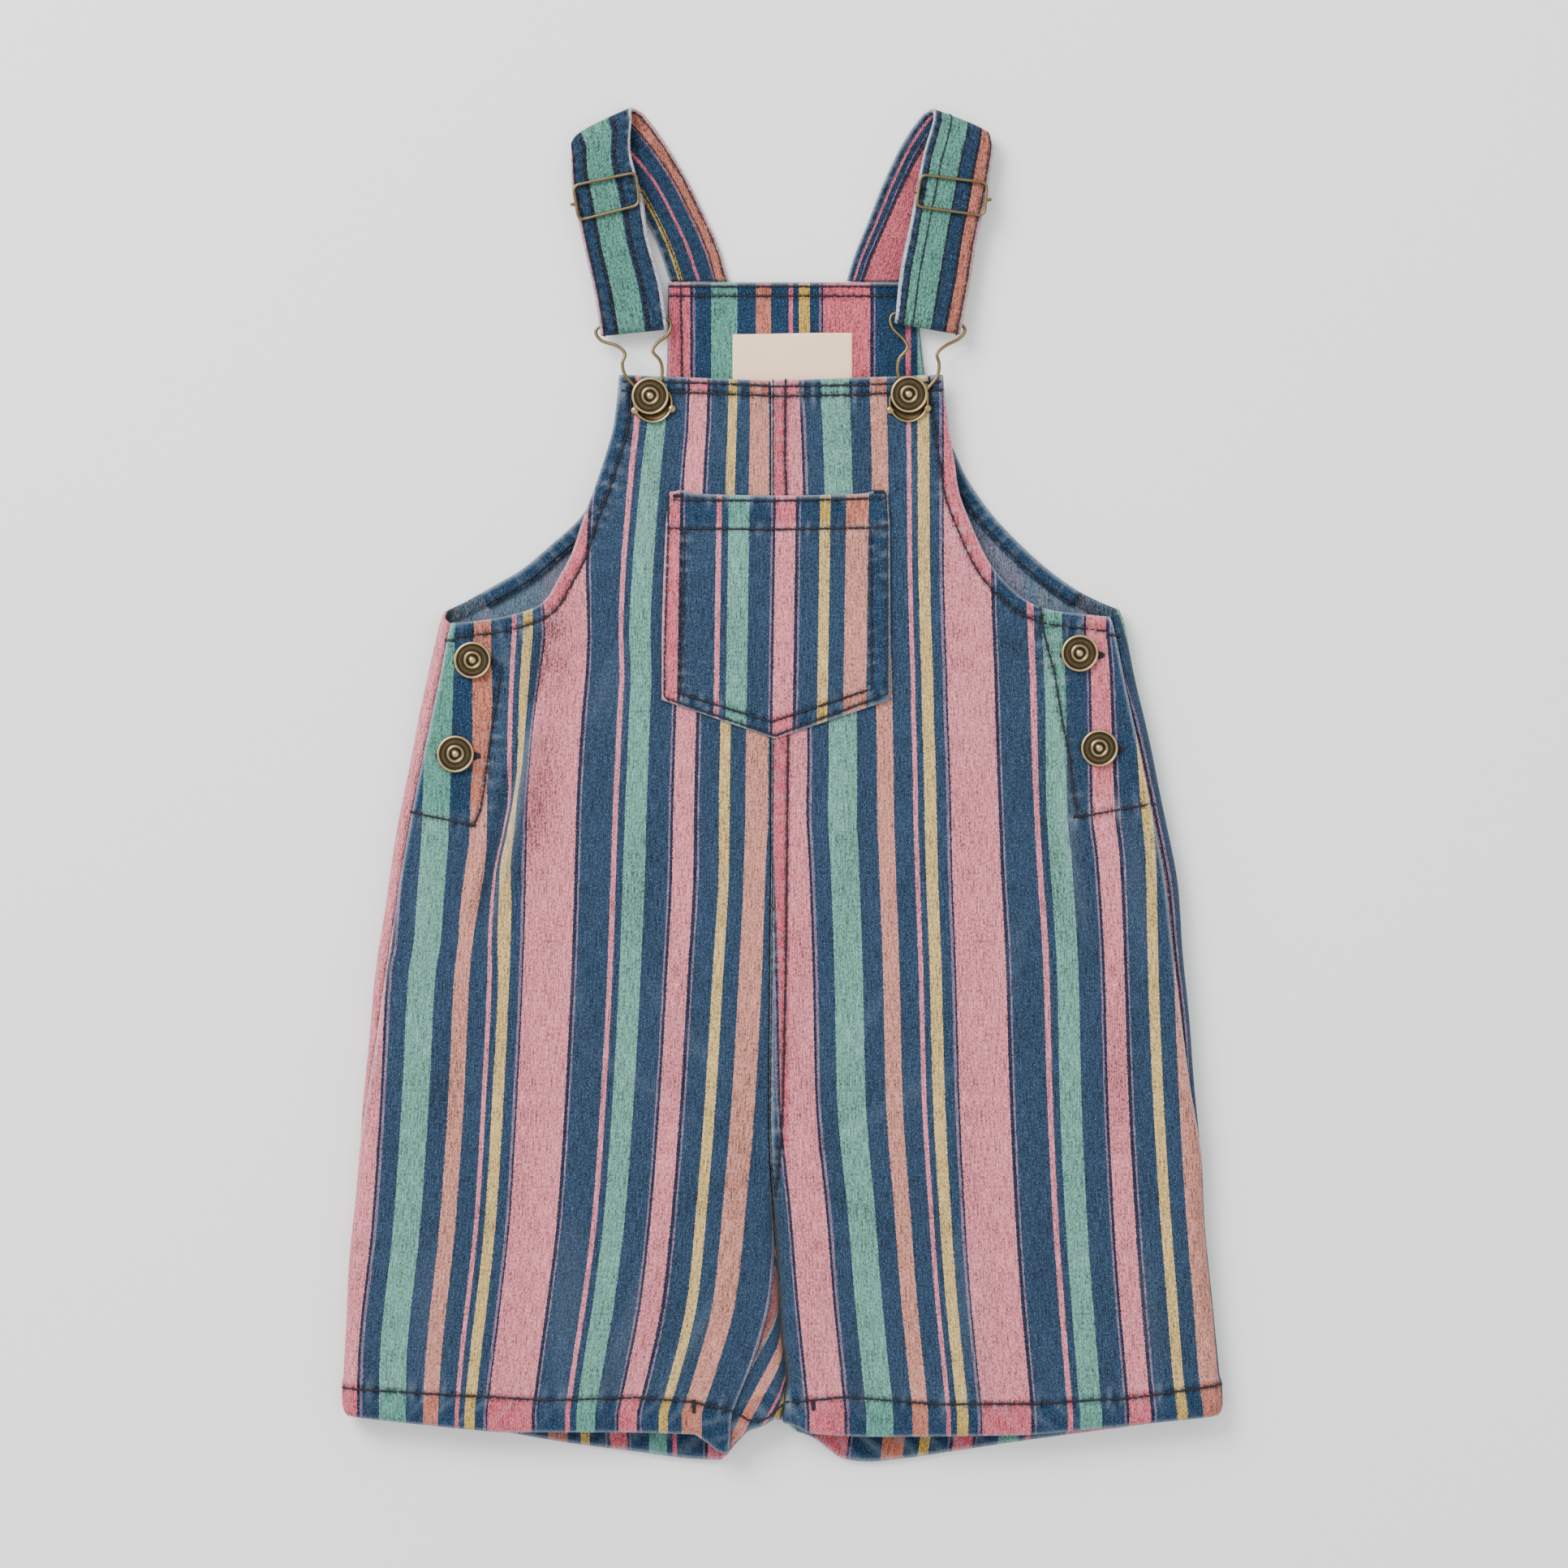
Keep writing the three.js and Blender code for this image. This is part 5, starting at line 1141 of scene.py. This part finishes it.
def strapPiece(side, face, wrong):
    u = unevenSteps((0, 0.12, 0.88, 1), (6, 16, 6))
    count = strapEdges(side)[2]
    t = np.linspace(0, 1, (count - 1) * 12 + 1)
    middle, normal = strapSurface(side, u, t)
    centre = middle[:, len(u) // 2]
    run = np.concatenate([[0], np.cumsum(np.linalg.norm(np.diff(centre, axis=0), axis=1))])
    edge = np.minimum(u, 1 - u) * strap["width"]
    body = strap["thick"] / 2 * np.sqrt(np.clip(1 - ((1.0 - edge) / 1.3).clip(0, 1)**2, 0.2, 1))
    gather = puckers(run, 1.0 + sign[side])
    rough = (0.16 * gather[:, None] * hump(edge - 1.6, 1.6)[None, :]
             - 0.18 * hump(edge - 2.0, 0.7)[None, :])
    half = body[None, :] + rough
    outer = middle + normal * half[..., None]
    wearAndHighlight = (0.8 * hump(edge, 0.8)[None, :]
            + 0.18 * np.maximum(gather, 0)[:, None] * hump(edge - 1.5, 1.5)[None, :])
    # short crinkles across the strap, as washing leaves them
    down = run[:, None]
    waves = down / 0.6 + 1.3 * np.sin(edge[None, :] / 2.7 + down / 9.1) + 0.8 * np.sin(down / 5.3)
    crinkle = np.maximum(np.sin(waves) * np.sin(edge[None, :] / 1.1 + down / 3.7), 0)
    wearAndHighlight = wearAndHighlight + 0.07 * crinkle
    wander = 0.4 * np.sin(run / 19)[:, None]
    uv = np.stack(np.broadcast_arrays(strap["width"] * u[None, :] + wander, down), -1)
    # painted shade along the groove 2 mm in from each edge; the whole strap is also a little darker and
    # deeper in colour
    groove = 0.22 + 0.5 * hump(edge - 2.0, 0.7)[None, :]
    return clothWall(f"strap_{side}_cloth", outer, normal, 2 * half, uv,
                     {"wearAndHighlight": wearAndHighlight, "groove": groove, "keptDyeAndShade": 0.6}, [wrong, face], rim=(0.4, 0.3, 0.4, 0.3))


for side in sides:
    face = stripedCloth(f"strap_face_{side}", strapFace[side], strap["stripes"])
    wrong = stripedCloth(f"strap_underside_{side}", strapWrong[side], strap["stripes"])
    finishPiece(strapPiece(side, face, wrong), f"strap_{side}")
print("straps made")


# brass: wires, plates and buttons
def tube(points, radius, sidesRound=14, closed=False):
    # round wire along the points, with its ends closed
    p = np.asarray(points, float)
    n = len(p)
    ahead = (np.roll(p, -1, 0) - np.roll(p, 1, 0)) if closed else np.gradient(p, axis=0)
    ahead /= np.linalg.norm(ahead, axis=1, keepdims=True)
    side = np.cross(ahead, (0, 0, 1.0))
    for k in range(1, n):
        if np.linalg.norm(side[k]) < 0.2 or np.dot(side[k], side[k - 1]) < 0:
            side[k] = side[k - 1] - ahead[k] * np.dot(side[k - 1], ahead[k])
        side[k] /= np.linalg.norm(side[k])
    side[0] /= np.linalg.norm(side[0])
    other = np.cross(side, ahead)
    turn = np.linspace(0, 2 * math.pi, sidesRound, endpoint=False)
    ringPoints = (p[:, None] + radius * (np.cos(turn)[None, :, None] * side[:, None]
                                         + np.sin(turn)[None, :, None] * other[:, None]))
    points = ringPoints.reshape(-1, 3)
    faces = []
    for k in range(n if closed else n - 1):
        a, b = k * sidesRound, (k + 1) % n * sidesRound
        for j in range(sidesRound):
            m = (j + 1) % sidesRound
            faces.append((a + j, b + j, b + m, a + m))
    if not closed:
        faces.append(tuple(range(sidesRound)))
        faces.append(tuple(range((n - 1) * sidesRound, n * sidesRound))[::-1])
    return points, faces


def lathe(profile, x, y, z, around=72):
    # profile of (radius, height, patina) from the axis to the axis
    profile = np.array(profile, float)
    turn = np.linspace(0, 2 * math.pi, around, endpoint=False)
    inner = profile[1:-1]
    r = inner[:, 0][:, None] * np.ones(around)
    pts = np.stack([x + r * np.cos(turn), y + r * np.sin(turn), z + inner[:, 1][:, None] + 0 * r], -1)
    points = np.vstack([pts.reshape(-1, 3), [[x, y, z + profile[0, 1]], [x, y, z + profile[-1, 1]]]])
    patina = np.concatenate([np.repeat(inner[:, 2], around), [profile[0, 2], profile[-1, 2]]])
    faces = []
    for k in range(len(inner) - 1):
        for j in range(around):
            m = (j + 1) % around
            faces.append((k * around + j, k * around + m, (k + 1) * around + m, (k + 1) * around + j))
    first = len(inner) * around
    last = first + 1
    for j in range(around):
        m = (j + 1) % around
        faces.append((first, m, j))
        faces.append((last, (len(inner) - 1) * around + j, (len(inner) - 1) * around + m))
    return points, faces, patina


def together(*parts):
    points, faces, patina, base = [], [], [], 0
    for p, f, shade in parts:
        points.append(p)
        faces += [tuple(k + base for k in face) for face in f]
        patina.append(shade)
        base += len(p)
    return np.vstack(points), faces, np.concatenate(patina)


wirePatina = 0.62


def wireOf(points, radius, closed=False):
    p, faces = tube(points, radius, closed=closed)
    return p, faces, np.full(len(p), wirePatina)


def brassPiece(name, node, *parts):
    points, faces, patina = together(*parts)
    piece = buildMesh(name, points, faces, [brass], values={"patina": patina})
    return finishPiece(piece, node)


buttonProfile = [
    (0, 0, 0.3), (2.8, 0, 0.3), (2.8, 1, 0.8), (7.4, 1, 0.7), (7.9, 1.25, 0.2), (8.05, 1.7, 0.05),
    (7.85, 2.2, 0), (7.4, 2.45, 0), (7.05, 2.3, 0.3), (6.85, 1.9, 0.97), (6.45, 1.8, 0.97), (6.1, 2.0, 0.86),
    (5.75, 1.85, 0.94), (5.4, 2.05, 0.7), (5.05, 1.9, 0.94), (4.6, 2.05, 0.86), (4.25, 1.9, 0.97),
    (3.9, 1.95, 0.95), (3.55, 2.35, 0.4), (3.2, 2.45, 0.2), (2.9, 2.3, 0.6), (2.5, 1.9, 0.97),
    (1.75, 1.9, 0.97), (1.4, 2.25, 0.6), (1.1, 2.6, 0), (0.5, 2.75, 0), (0, 2.8, 0),
]
# how far each kind of button stands off the cloth, and where the side buttons sit
necks = {"bib": 1.9, "side": 0.9}
buttonSpots = {
    "right": {"upper": (-133.5, 53.5), "lower": (-140.8, 13.1)},
    "left": {"upper": (128.1, 56.5), "lower": (136.5, 15.6)},
}


def button(x, y, neck):
    rows = [(r, h if h == 0 else h - 1 + neck, p) for r, h, p in buttonProfile]
    return lathe(rows, x, y, float(topOf(np.array(x), np.array(y))) + cut["liftOff"])


sliderCorners = {
    "right": [(-91, 258.9), (-62.5, 264.6), (-61, 249.1), (-88.5, 242.5)],
    "left": [(59, 263.7), (89.1, 260.1), (87.8, 244.5), (57, 248.5)],
}
slider = {"level": 10.2, "bar": 5.9, "radius": 0.7, "barRadius": 0.66, "corner": 3.0}


def roundedLoop(corners, radius, z):
    p = np.array(corners, float)
    mid = p.mean(0)
    p = p - np.sign(p - mid) * slider["radius"]
    pts = []
    for k in range(4):
        here, before, after = p[k], p[k - 1], p[(k + 1) % 4]
        a = here + (before - here) / np.linalg.norm(before - here) * radius
        b = here + (after - here) / np.linalg.norm(after - here) * radius
        for t in np.linspace(0, 1, 9):
            pts.append(((1 - t)**2 * a + 2 * t * (1 - t) * here + t * t * b).tolist() + [z])
    return evenPath(np.array(pts + pts[:1]))(np.linspace(0, 1, 120, endpoint=False))


def sliderPiece(side):
    a, b = (np.array(p, float) for p in strapRows[side]["bar"])
    spots = [(0.08, slider["level"]), (0.035, slider["level"] - 1.0), (0.04, slider["bar"] + 0.6),
             (0.08, slider["bar"]), (0.5, slider["bar"]), (0.92, slider["bar"]), (0.96, slider["bar"] + 0.6),
             (0.965, slider["level"] - 1.0), (0.92, slider["level"])]
    drop = spreadPath([(*mix(a, b, t), z) for t, z in spots])(np.linspace(0, 1, 90))
    loop = wireOf(roundedLoop(sliderCorners[side], slider["corner"], slider["level"]), slider["radius"], True)
    return brassPiece(f"slider_{side}_brass", f"slider_{side}", loop, wireOf(drop, slider["barRadius"]))


hooks = {
    "right": {
        "wire": [(-62, 170, 9.2), (-67.8, 176.6, 9.2), (-69, 181.5, 9.2), (-67.9, 185.7, 9), (-71, 189, 8.3),
                 (-78.4, 191.8, 7.2), (-80.6, 195.2, 6.7), (-79.2, 197.4, 6.7), (-64.5, 199, 6.7),
                 (-49.6, 200.6, 6.7), (-48.2, 198.4, 6.7), (-49.3, 194.6, 7.2), (-54.4, 190, 8.3),
                 (-55.9, 186.9, 9), (-52.8, 182.9, 9.2), (-51.8, 178, 9.2), (-53.4, 170.5, 9.2)],
        "plate": (-55.8, 164.4), "button": (-57, 167.5),
    },
    "left": {
        "wire": [(62, 170, 9.2), (67, 176.6, 9.2), (67.6, 181.5, 9.2), (66.8, 185.7, 9), (70, 189, 8.3),
                 (76.5, 192.6, 7.2), (78.9, 196, 6.7), (77.6, 198.2, 6.7), (63, 200.7, 6.7),
                 (48.2, 203.3, 6.7), (46.6, 201, 6.7), (47.6, 197, 7.2), (52.6, 191.6, 8.3),
                 (54, 188.4, 9), (50.4, 183.6, 9.2), (49.6, 178.4, 9.2), (51.6, 171, 9.2)],
        "plate": (54.4, 164.6), "button": (54.6, 168.2),
    },
}
hook = {"wire": 0.74, "cup": 8.1, "low": 8.7}


def cupPlate(x, y):
    # stamped cup: a dished plate with a rolled rim, and a small ear at each side
    r = hook["cup"]
    dish = lathe([(0, 0.1, 0.8), (2.2, 0.1, 0.8), (r - 1.6, 0.15, 0.75), (r - 0.7, 0.6, 0.6),
                  (r - 0.1, 1.25, 0.3), (r + 0.35, 1.1, 0.3), (r + 0.3, 0.5, 0.5), (r - 0.6, -0.05, 0.7),
                  (2.2, -0.2, 0.7), (0, -0.2, 0.7)][::-1], x, y, hook["low"])
    ears = []
    for turn in (-0.28, math.pi + 0.38):
        ex, ey = x + (r + 0.4) * math.cos(turn), y + (r + 0.4) * math.sin(turn)
        ears.append(lathe([(0, 0, 0.3), (1.1, 0.05, 0.5), (1.7, 0.4, 0.4), (1.75, 0.9, 0.35),
                           (1.2, 1.35, 0.35), (0, 1.45, 0.3)], ex, ey, hook["low"], around=24))
    return [dish, *ears]


for side in sides:
    sliderPiece(side)
    wire = spreadPath(hooks[side]["wire"])(np.linspace(0, 1, 200))
    brassPiece(f"hook_{side}_brass", f"hook_{side}", wireOf(wire, hook["wire"]),
               *cupPlate(*hooks[side]["plate"]))
    brassPiece(f"bib_button_{side}_brass", f"bib_button_{side}", button(*hooks[side]["button"], necks["bib"]))
for side in sides:
    for level, spot in buttonSpots[side].items():
        name = f"side_button_{side}_{level}"
        brassPiece(f"{name}_brass", name, button(*spot, necks["side"]))
print("brass made")


# stitches: one node tree lays them along rows drawn on the cloth
def stitchTree():
    tree = bpy.data.node_groups.new("stitches", "GeometryNodeTree")
    face = tree.interface
    face.new_socket("Geometry", in_out="INPUT", socket_type="NodeSocketGeometry")
    for name, value in (("Pitch", 0.0027), ("Length", 0.002), ("Thickness", 0.00035), ("Turn", 0.0)):
        face.new_socket(name, in_out="INPUT", socket_type="NodeSocketFloat").default_value = value
    face.new_socket("Thread", in_out="INPUT", socket_type="NodeSocketMaterial")
    face.new_socket("Geometry", in_out="OUTPUT", socket_type="NodeSocketGeometry")
    new, link = tree.nodes.new, tree.links.new
    given, result = new("NodeGroupInput"), new("NodeGroupOutput")
    toCurve = new("GeometryNodeMeshToCurve")
    link(given.outputs["Geometry"], toCurve.inputs["Mesh"])
    resample = new("GeometryNodeResampleCurve")
    resample.mode = "LENGTH"
    link(toCurve.outputs["Curve"], resample.inputs["Curve"])
    link(given.outputs["Pitch"], resample.inputs["Length"])
    ball = new("GeometryNodeMeshUVSphere")
    ball.inputs["Segments"].default_value = 6
    ball.inputs["Rings"].default_value = 4
    ball.inputs["Radius"].default_value = 0.5
    size = new("ShaderNodeCombineXYZ")
    link(given.outputs["Thickness"], size.inputs["X"])
    link(given.outputs["Thickness"], size.inputs["Y"])
    link(given.outputs["Length"], size.inputs["Z"])
    shape = new("GeometryNodeTransform")
    link(ball.outputs["Mesh"], shape.inputs["Geometry"])
    link(size.outputs["Vector"], shape.inputs["Scale"])
    up = new("GeometryNodeInputNamedAttribute")
    up.data_type = "FLOAT_VECTOR"
    up.inputs["Name"].default_value = "up"
    tangent = new("GeometryNodeInputTangent")
    along = new("FunctionNodeAlignRotationToVector")
    along.axis = "Z"
    link(tangent.outputs["Tangent"], along.inputs["Vector"])
    level = new("FunctionNodeAlignRotationToVector")
    level.axis, level.pivot_axis = "Y", "Z"
    link(along.outputs["Rotation"], level.inputs["Rotation"])
    link(up.outputs["Attribute"], level.inputs["Vector"])
    wobble = new("FunctionNodeRandomValue")
    wobble.data_type = "FLOAT"
    wobble.inputs["Min"].default_value, wobble.inputs["Max"].default_value = -0.16, 0.16
    wobble.inputs["Seed"].default_value = 7
    swing = new("ShaderNodeMath")
    swing.operation = "ADD"
    link(given.outputs["Turn"], swing.inputs[0])
    link(wobble.outputs["Value"], swing.inputs[1])
    about = new("ShaderNodeCombineXYZ")
    link(swing.outputs[0], about.inputs["Y"])
    asTurn = new("FunctionNodeEulerToRotation")
    link(about.outputs["Vector"], asTurn.inputs["Euler"])
    turned = new("FunctionNodeRotateRotation")
    turned.rotation_space = "LOCAL"
    link(level.outputs["Rotation"], turned.inputs["Rotation"])
    link(asTurn.outputs["Rotation"], turned.inputs["Rotate By"])
    place = new("GeometryNodeInstanceOnPoints")
    link(resample.outputs["Curve"], place.inputs["Points"])
    link(shape.outputs["Geometry"], place.inputs["Instance"])
    link(turned.outputs["Rotation"], place.inputs["Rotation"])
    longer = new("FunctionNodeRandomValue")
    longer.data_type = "FLOAT"
    longer.inputs["Min"].default_value, longer.inputs["Max"].default_value = 0.82, 1.12
    longer.inputs["Seed"].default_value = 11
    link(longer.outputs["Value"], place.inputs["Scale"])
    real = new("GeometryNodeRealizeInstances")
    link(place.outputs["Instances"], real.inputs["Geometry"])
    paint = new("GeometryNodeSetMaterial")
    link(real.outputs["Geometry"], paint.inputs["Geometry"])
    link(given.outputs["Thread"], paint.inputs["Material"])
    link(paint.outputs["Geometry"], result.inputs["Geometry"])
    return tree


stitches = stitchTree()
socket = {item.name: item.identifier for item in stitches.interface.items_tree if item.in_out == "INPUT"}


def sew(name, rows, pitch, length, thickness, turn=0.0):
    # rows are lists of (points, directions) that already lie on the cloth
    points, ups, edges, base = [], [], [], 0
    for p, n in rows:
        points.append(p)
        ups.append(n)
        edges += [(base + k, base + k + 1) for k in range(len(p) - 1)]
        base += len(p)
    points, ups = np.vstack(points) * mm, np.vstack(ups)
    mesh = bpy.data.meshes.new(name + "_rows")
    mesh.from_pydata(points.tolist(), edges, [])
    up = mesh.attributes.new("up", "FLOAT_VECTOR", "POINT")
    up.data.foreach_set("vector", ups.astype(np.float32).ravel())
    holder = addObject(name + "_rows", mesh)
    modifier = holder.modifiers.new("stitches", "NODES")
    modifier.node_group = stitches
    modifier[socket["Pitch"]] = pitch * mm
    modifier[socket["Length"]] = length * mm
    modifier[socket["Thickness"]] = thickness * mm
    modifier[socket["Turn"]] = turn
    modifier[socket["Thread"]] = thread
    bpy.context.view_layer.update()
    made = bpy.data.meshes.new_from_object(holder.evaluated_get(bpy.context.evaluated_depsgraph_get()))
    bpy.data.objects.remove(holder)
    made.polygons.foreach_set("use_smooth", np.ones(len(made.polygons), bool))
    made.update()
    piece = addObject(name, made)
    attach(piece, "root")
    return piece


def alongRow(row, step=1.2):
    path = evenPath(row)
    return path(np.linspace(0, 1, max(2, int(path.length / step))))


def onFront(side, row, above=0.12):
    row = alongRow(row)
    place = placeOnFront(side, row[:, 1], sign[side] * row[:, 0])
    lift, _ = frontRelief(side, unrolled(side, place, row[:, 1]), row[:, 1])
    normal = facing(side, place, row[:, 1])
    return skin(side, place, row[:, 1]) + normal * (lift + above)[:, None], normal


def onRoll(side, row, above=0.15):
    # rows on the back where it comes up round the inner leg
    row = alongRow(row)
    out, y = sign[side] * row[:, 0], row[:, 1]
    s = section(side, y)
    r = np.maximum(s["innerRadius"], 1e-6)
    turn = np.arcsin(np.clip((r - (out - s["inner"])) / r, 0, 0.98))
    bent = s["quarter"] * (1 - turn / (math.pi / 2))
    place = np.where(out - s["inner"] < r, bent, placeOnFront(side, y, out))
    normal = facing(side, place, y)
    return skin(side, place, y) + normal * above, normal


def onPocket(row, above=0.1):
    row = alongRow(row)
    lift, _ = pocketRelief(row[:, 0], row[:, 1])
    x, y = row.T
    u = (x - pocketLeft(y)) / (pocketRight(y) - pocketLeft(y))
    down = ((pocket["high"] - y) / 100).clip(0, 1)
    belly = pocket["belly"] * np.sin(math.pi * u.clip(0, 1)) * np.sin(math.pi * down)
    z = topOf(x, y) + cut["liftOff"] + pocket["thick"] + 0.3 + lift + belly + above + 0.1
    return np.stack([x, y, z], -1), np.tile([0, 0, 1.0], (len(row), 1))


def onFacing(row, above=0.15):
    row = alongRow(row)
    return np.stack([row[:, 0], row[:, 1], facingHeight(row[:, 0], row[:, 1]) + above], -1), np.tile(
        [0, 0, 1.0], (len(row), 1))


def onBand(side, inset, above=0.15):
    row = np.array(armRow(side, inset, 0.01, band["end"] - 0.01, {
        key: [r for r in rows if r[1] < band["top"]] for key, rows in backArmhole.items()}))
    out, y = sign[side] * row[:, 0], row[:, 1]
    s = section(side, y)
    c = s["total"] - (out - s["inner"])
    normal = facing(side, c, y)
    deep = cut["innerFace"] + cut["liftOff"] + band["thick"]
    lift = 0.25 * puckers(np.linspace(0, 1, len(row)) * 90, 2.0) * 0.6
    return skin(side, c, y) - normal * (deep + lift + above)[:, None], -normal


def onStrap(side, share, onFace, first=0.0, last=1.0):
    t = np.linspace(first, last, 260)
    middle, normal = strapSurface(side, np.array([share]), t)
    way = -1.0 if onFace else 1.0
    return middle[:, 0] + normal[:, 0] * way * (strap["thick"] / 2 + 0.12), normal[:, 0] * way


def around(x, y, reach, wide=1.1):
    # a buttonhole's row of stitches round its slit, longer towards the wearer's left
    turn = np.linspace(0, 2 * math.pi, 60)
    return [(x + 1 + reach * math.copysign(abs(math.cos(a))**0.4, math.cos(a)),
             y - 0.8 + wide * math.sin(a)) for a in turn]


bartacks = {
    "right": [[(855, 1724), (855, 1739)], [(549, 789), (560, 789)], [(509, 1001), (520, 1003)],
              [(578, 1016), (586, 1017)]],
    "left": [[(1002, 1726), (1002, 1736)], [(1366, 782), (1380, 783)], [(1410, 992), (1421, 990)],
             [(1322, 1006), (1332, 1006)]],
    "pocket": [[(830, 611), (842, 611)], [(1077, 606), (1089, 606)]],
}
backHemRow = [(895, 1736), (904, 1738), (927, 1751), (944, 1747), (962, 1732)]
facingRows = [[(-48, 215.3), (50, 215.3)], [(-48, 211.2), (50, 211.2)], [(-44, 215), (-43.4, 177)]]
# rows along each strap: share of its width, whether on its face, and the thread's thickness
strapSewing = {
    "right": ([(0.05, True), (0.79, False), (0.95, False), (0.19, False)], 0.7),
    "left": ([(0.05, True), (0.73, True), (0.7, False)], 0.8),
}
rowSize = (sewing["pitch"], sewing["stitch"], sewing["thick"])
tackSize = {"pitch": 0.5, "length": 2.0, "thickness": 0.6, "turn": math.pi / 2}
above = {"tack": 0.3, "buttonhole": 0.2}
buttonholeReach = 9.4
for side in sides:
    rows = [onFront(side, row) for key, row in frontRows[side].items() if key != "centre, near"]
    sew(f"topstitch_front_{side}", rows, *rowSize)
    if side == "left":
        sew("topstitch_centre_edge", [onFront(side, frontRows[side]["centre, near"])], *rowSize[:2],
            sewing["edgeThick"])
    if side == "right":
        sew("topstitch_back_hem_right", [onRoll(side, seen(backHemRow))], *rowSize)
    tacks = [onFront(side, seen(row), above["tack"]) for row in bartacks[side]]
    tacks += [onFront(side, around(x, y, buttonholeReach), above["buttonhole"])
              for x, y in buttonSpots[side].values()]
    sew(f"bartacks_front_{side}", tacks, **tackSize)
    sew(f"topstitch_armhole_band_{side}", [onBand(side, band["rowInset"])], *rowSize)
sew("topstitch_pocket", [onPocket(row) for row in pocketRows.values()], *rowSize)
sew("bartacks_pocket", [onPocket(seen(row), above["tack"]) for row in bartacks["pocket"]], **tackSize)
sew("topstitch_back_facing", [onFacing(row) for row in facingRows], *rowSize)
for side in sides:
    rows, thick = strapSewing[side]
    laid = [onStrap(side, share, onFace) for share, onFace in rows]
    sew(f"topstitch_strap_{side}", laid, *rowSize[:2], thick)
print("stitches made")


# floor, light and camera
def floorMaterial():
    material, make = newMaterial("pale_floor")
    spot = make("ShaderNodeTexCoord").outputs["Object"]
    noise = make("ShaderNodeTexNoise", {"Vector": spot, "Scale": 3.0}).outputs["Fac"]
    tone = mixColours(make, noise, (0.93, 0.93, 0.93, 1), (0.96, 0.96, 0.96, 1))
    shader = make("ShaderNodeBsdfPrincipled", {"Base Color": tone, "Roughness": 0.8})
    make("ShaderNodeOutputMaterial", {"Surface": shader.outputs[0]})
    return material


ground = {"half": 6000, "level": -0.6}
corners = [(x * ground["half"], y * ground["half"], ground["level"])
           for x, y in ((-1, -1), (1, -1), (1, 1), (-1, 1))]
floor = buildMesh("floor", corners, np.array([[0, 1, 2, 3]]), [floorMaterial()])

light = {"key": 90.0, "fill": 10.0, "sky": 1.12}
shot = {"lens": 127.8, "sensor": 36, "place": (0.0007, 0.0002, 2.41)}


def softbox(name, place, size, power):
    lamp = bpy.data.lights.new(name, "AREA")
    lamp.shape, lamp.size, lamp.energy = "SQUARE", size, power
    thing = addObject(name, lamp)
    thing.location = place
    thing.rotation_euler = (-Vector(place)).to_track_quat("-Z", "Y").to_euler()


softbox("key_light", (-1.3, 1.5, 1.7), 1.4, light["key"])
softbox("fill_light", (1.6, -1.0, 2.0), 2.2, light["fill"])
world = bpy.data.worlds.new("studio")
bpy.context.scene.world = world
world.use_nodes = True
world.node_tree.nodes["Background"].inputs["Color"].default_value = (1, 1, 1, 1)
world.node_tree.nodes["Background"].inputs["Strength"].default_value = light["sky"]

lens = bpy.data.cameras.new("camera")
lens.lens, lens.sensor_width = shot["lens"], shot["sensor"]
lens.clip_start, lens.clip_end = 0.1, 20
camera = addObject("camera", lens)
camera.location = shot["place"]
bpy.context.scene.camera = camera
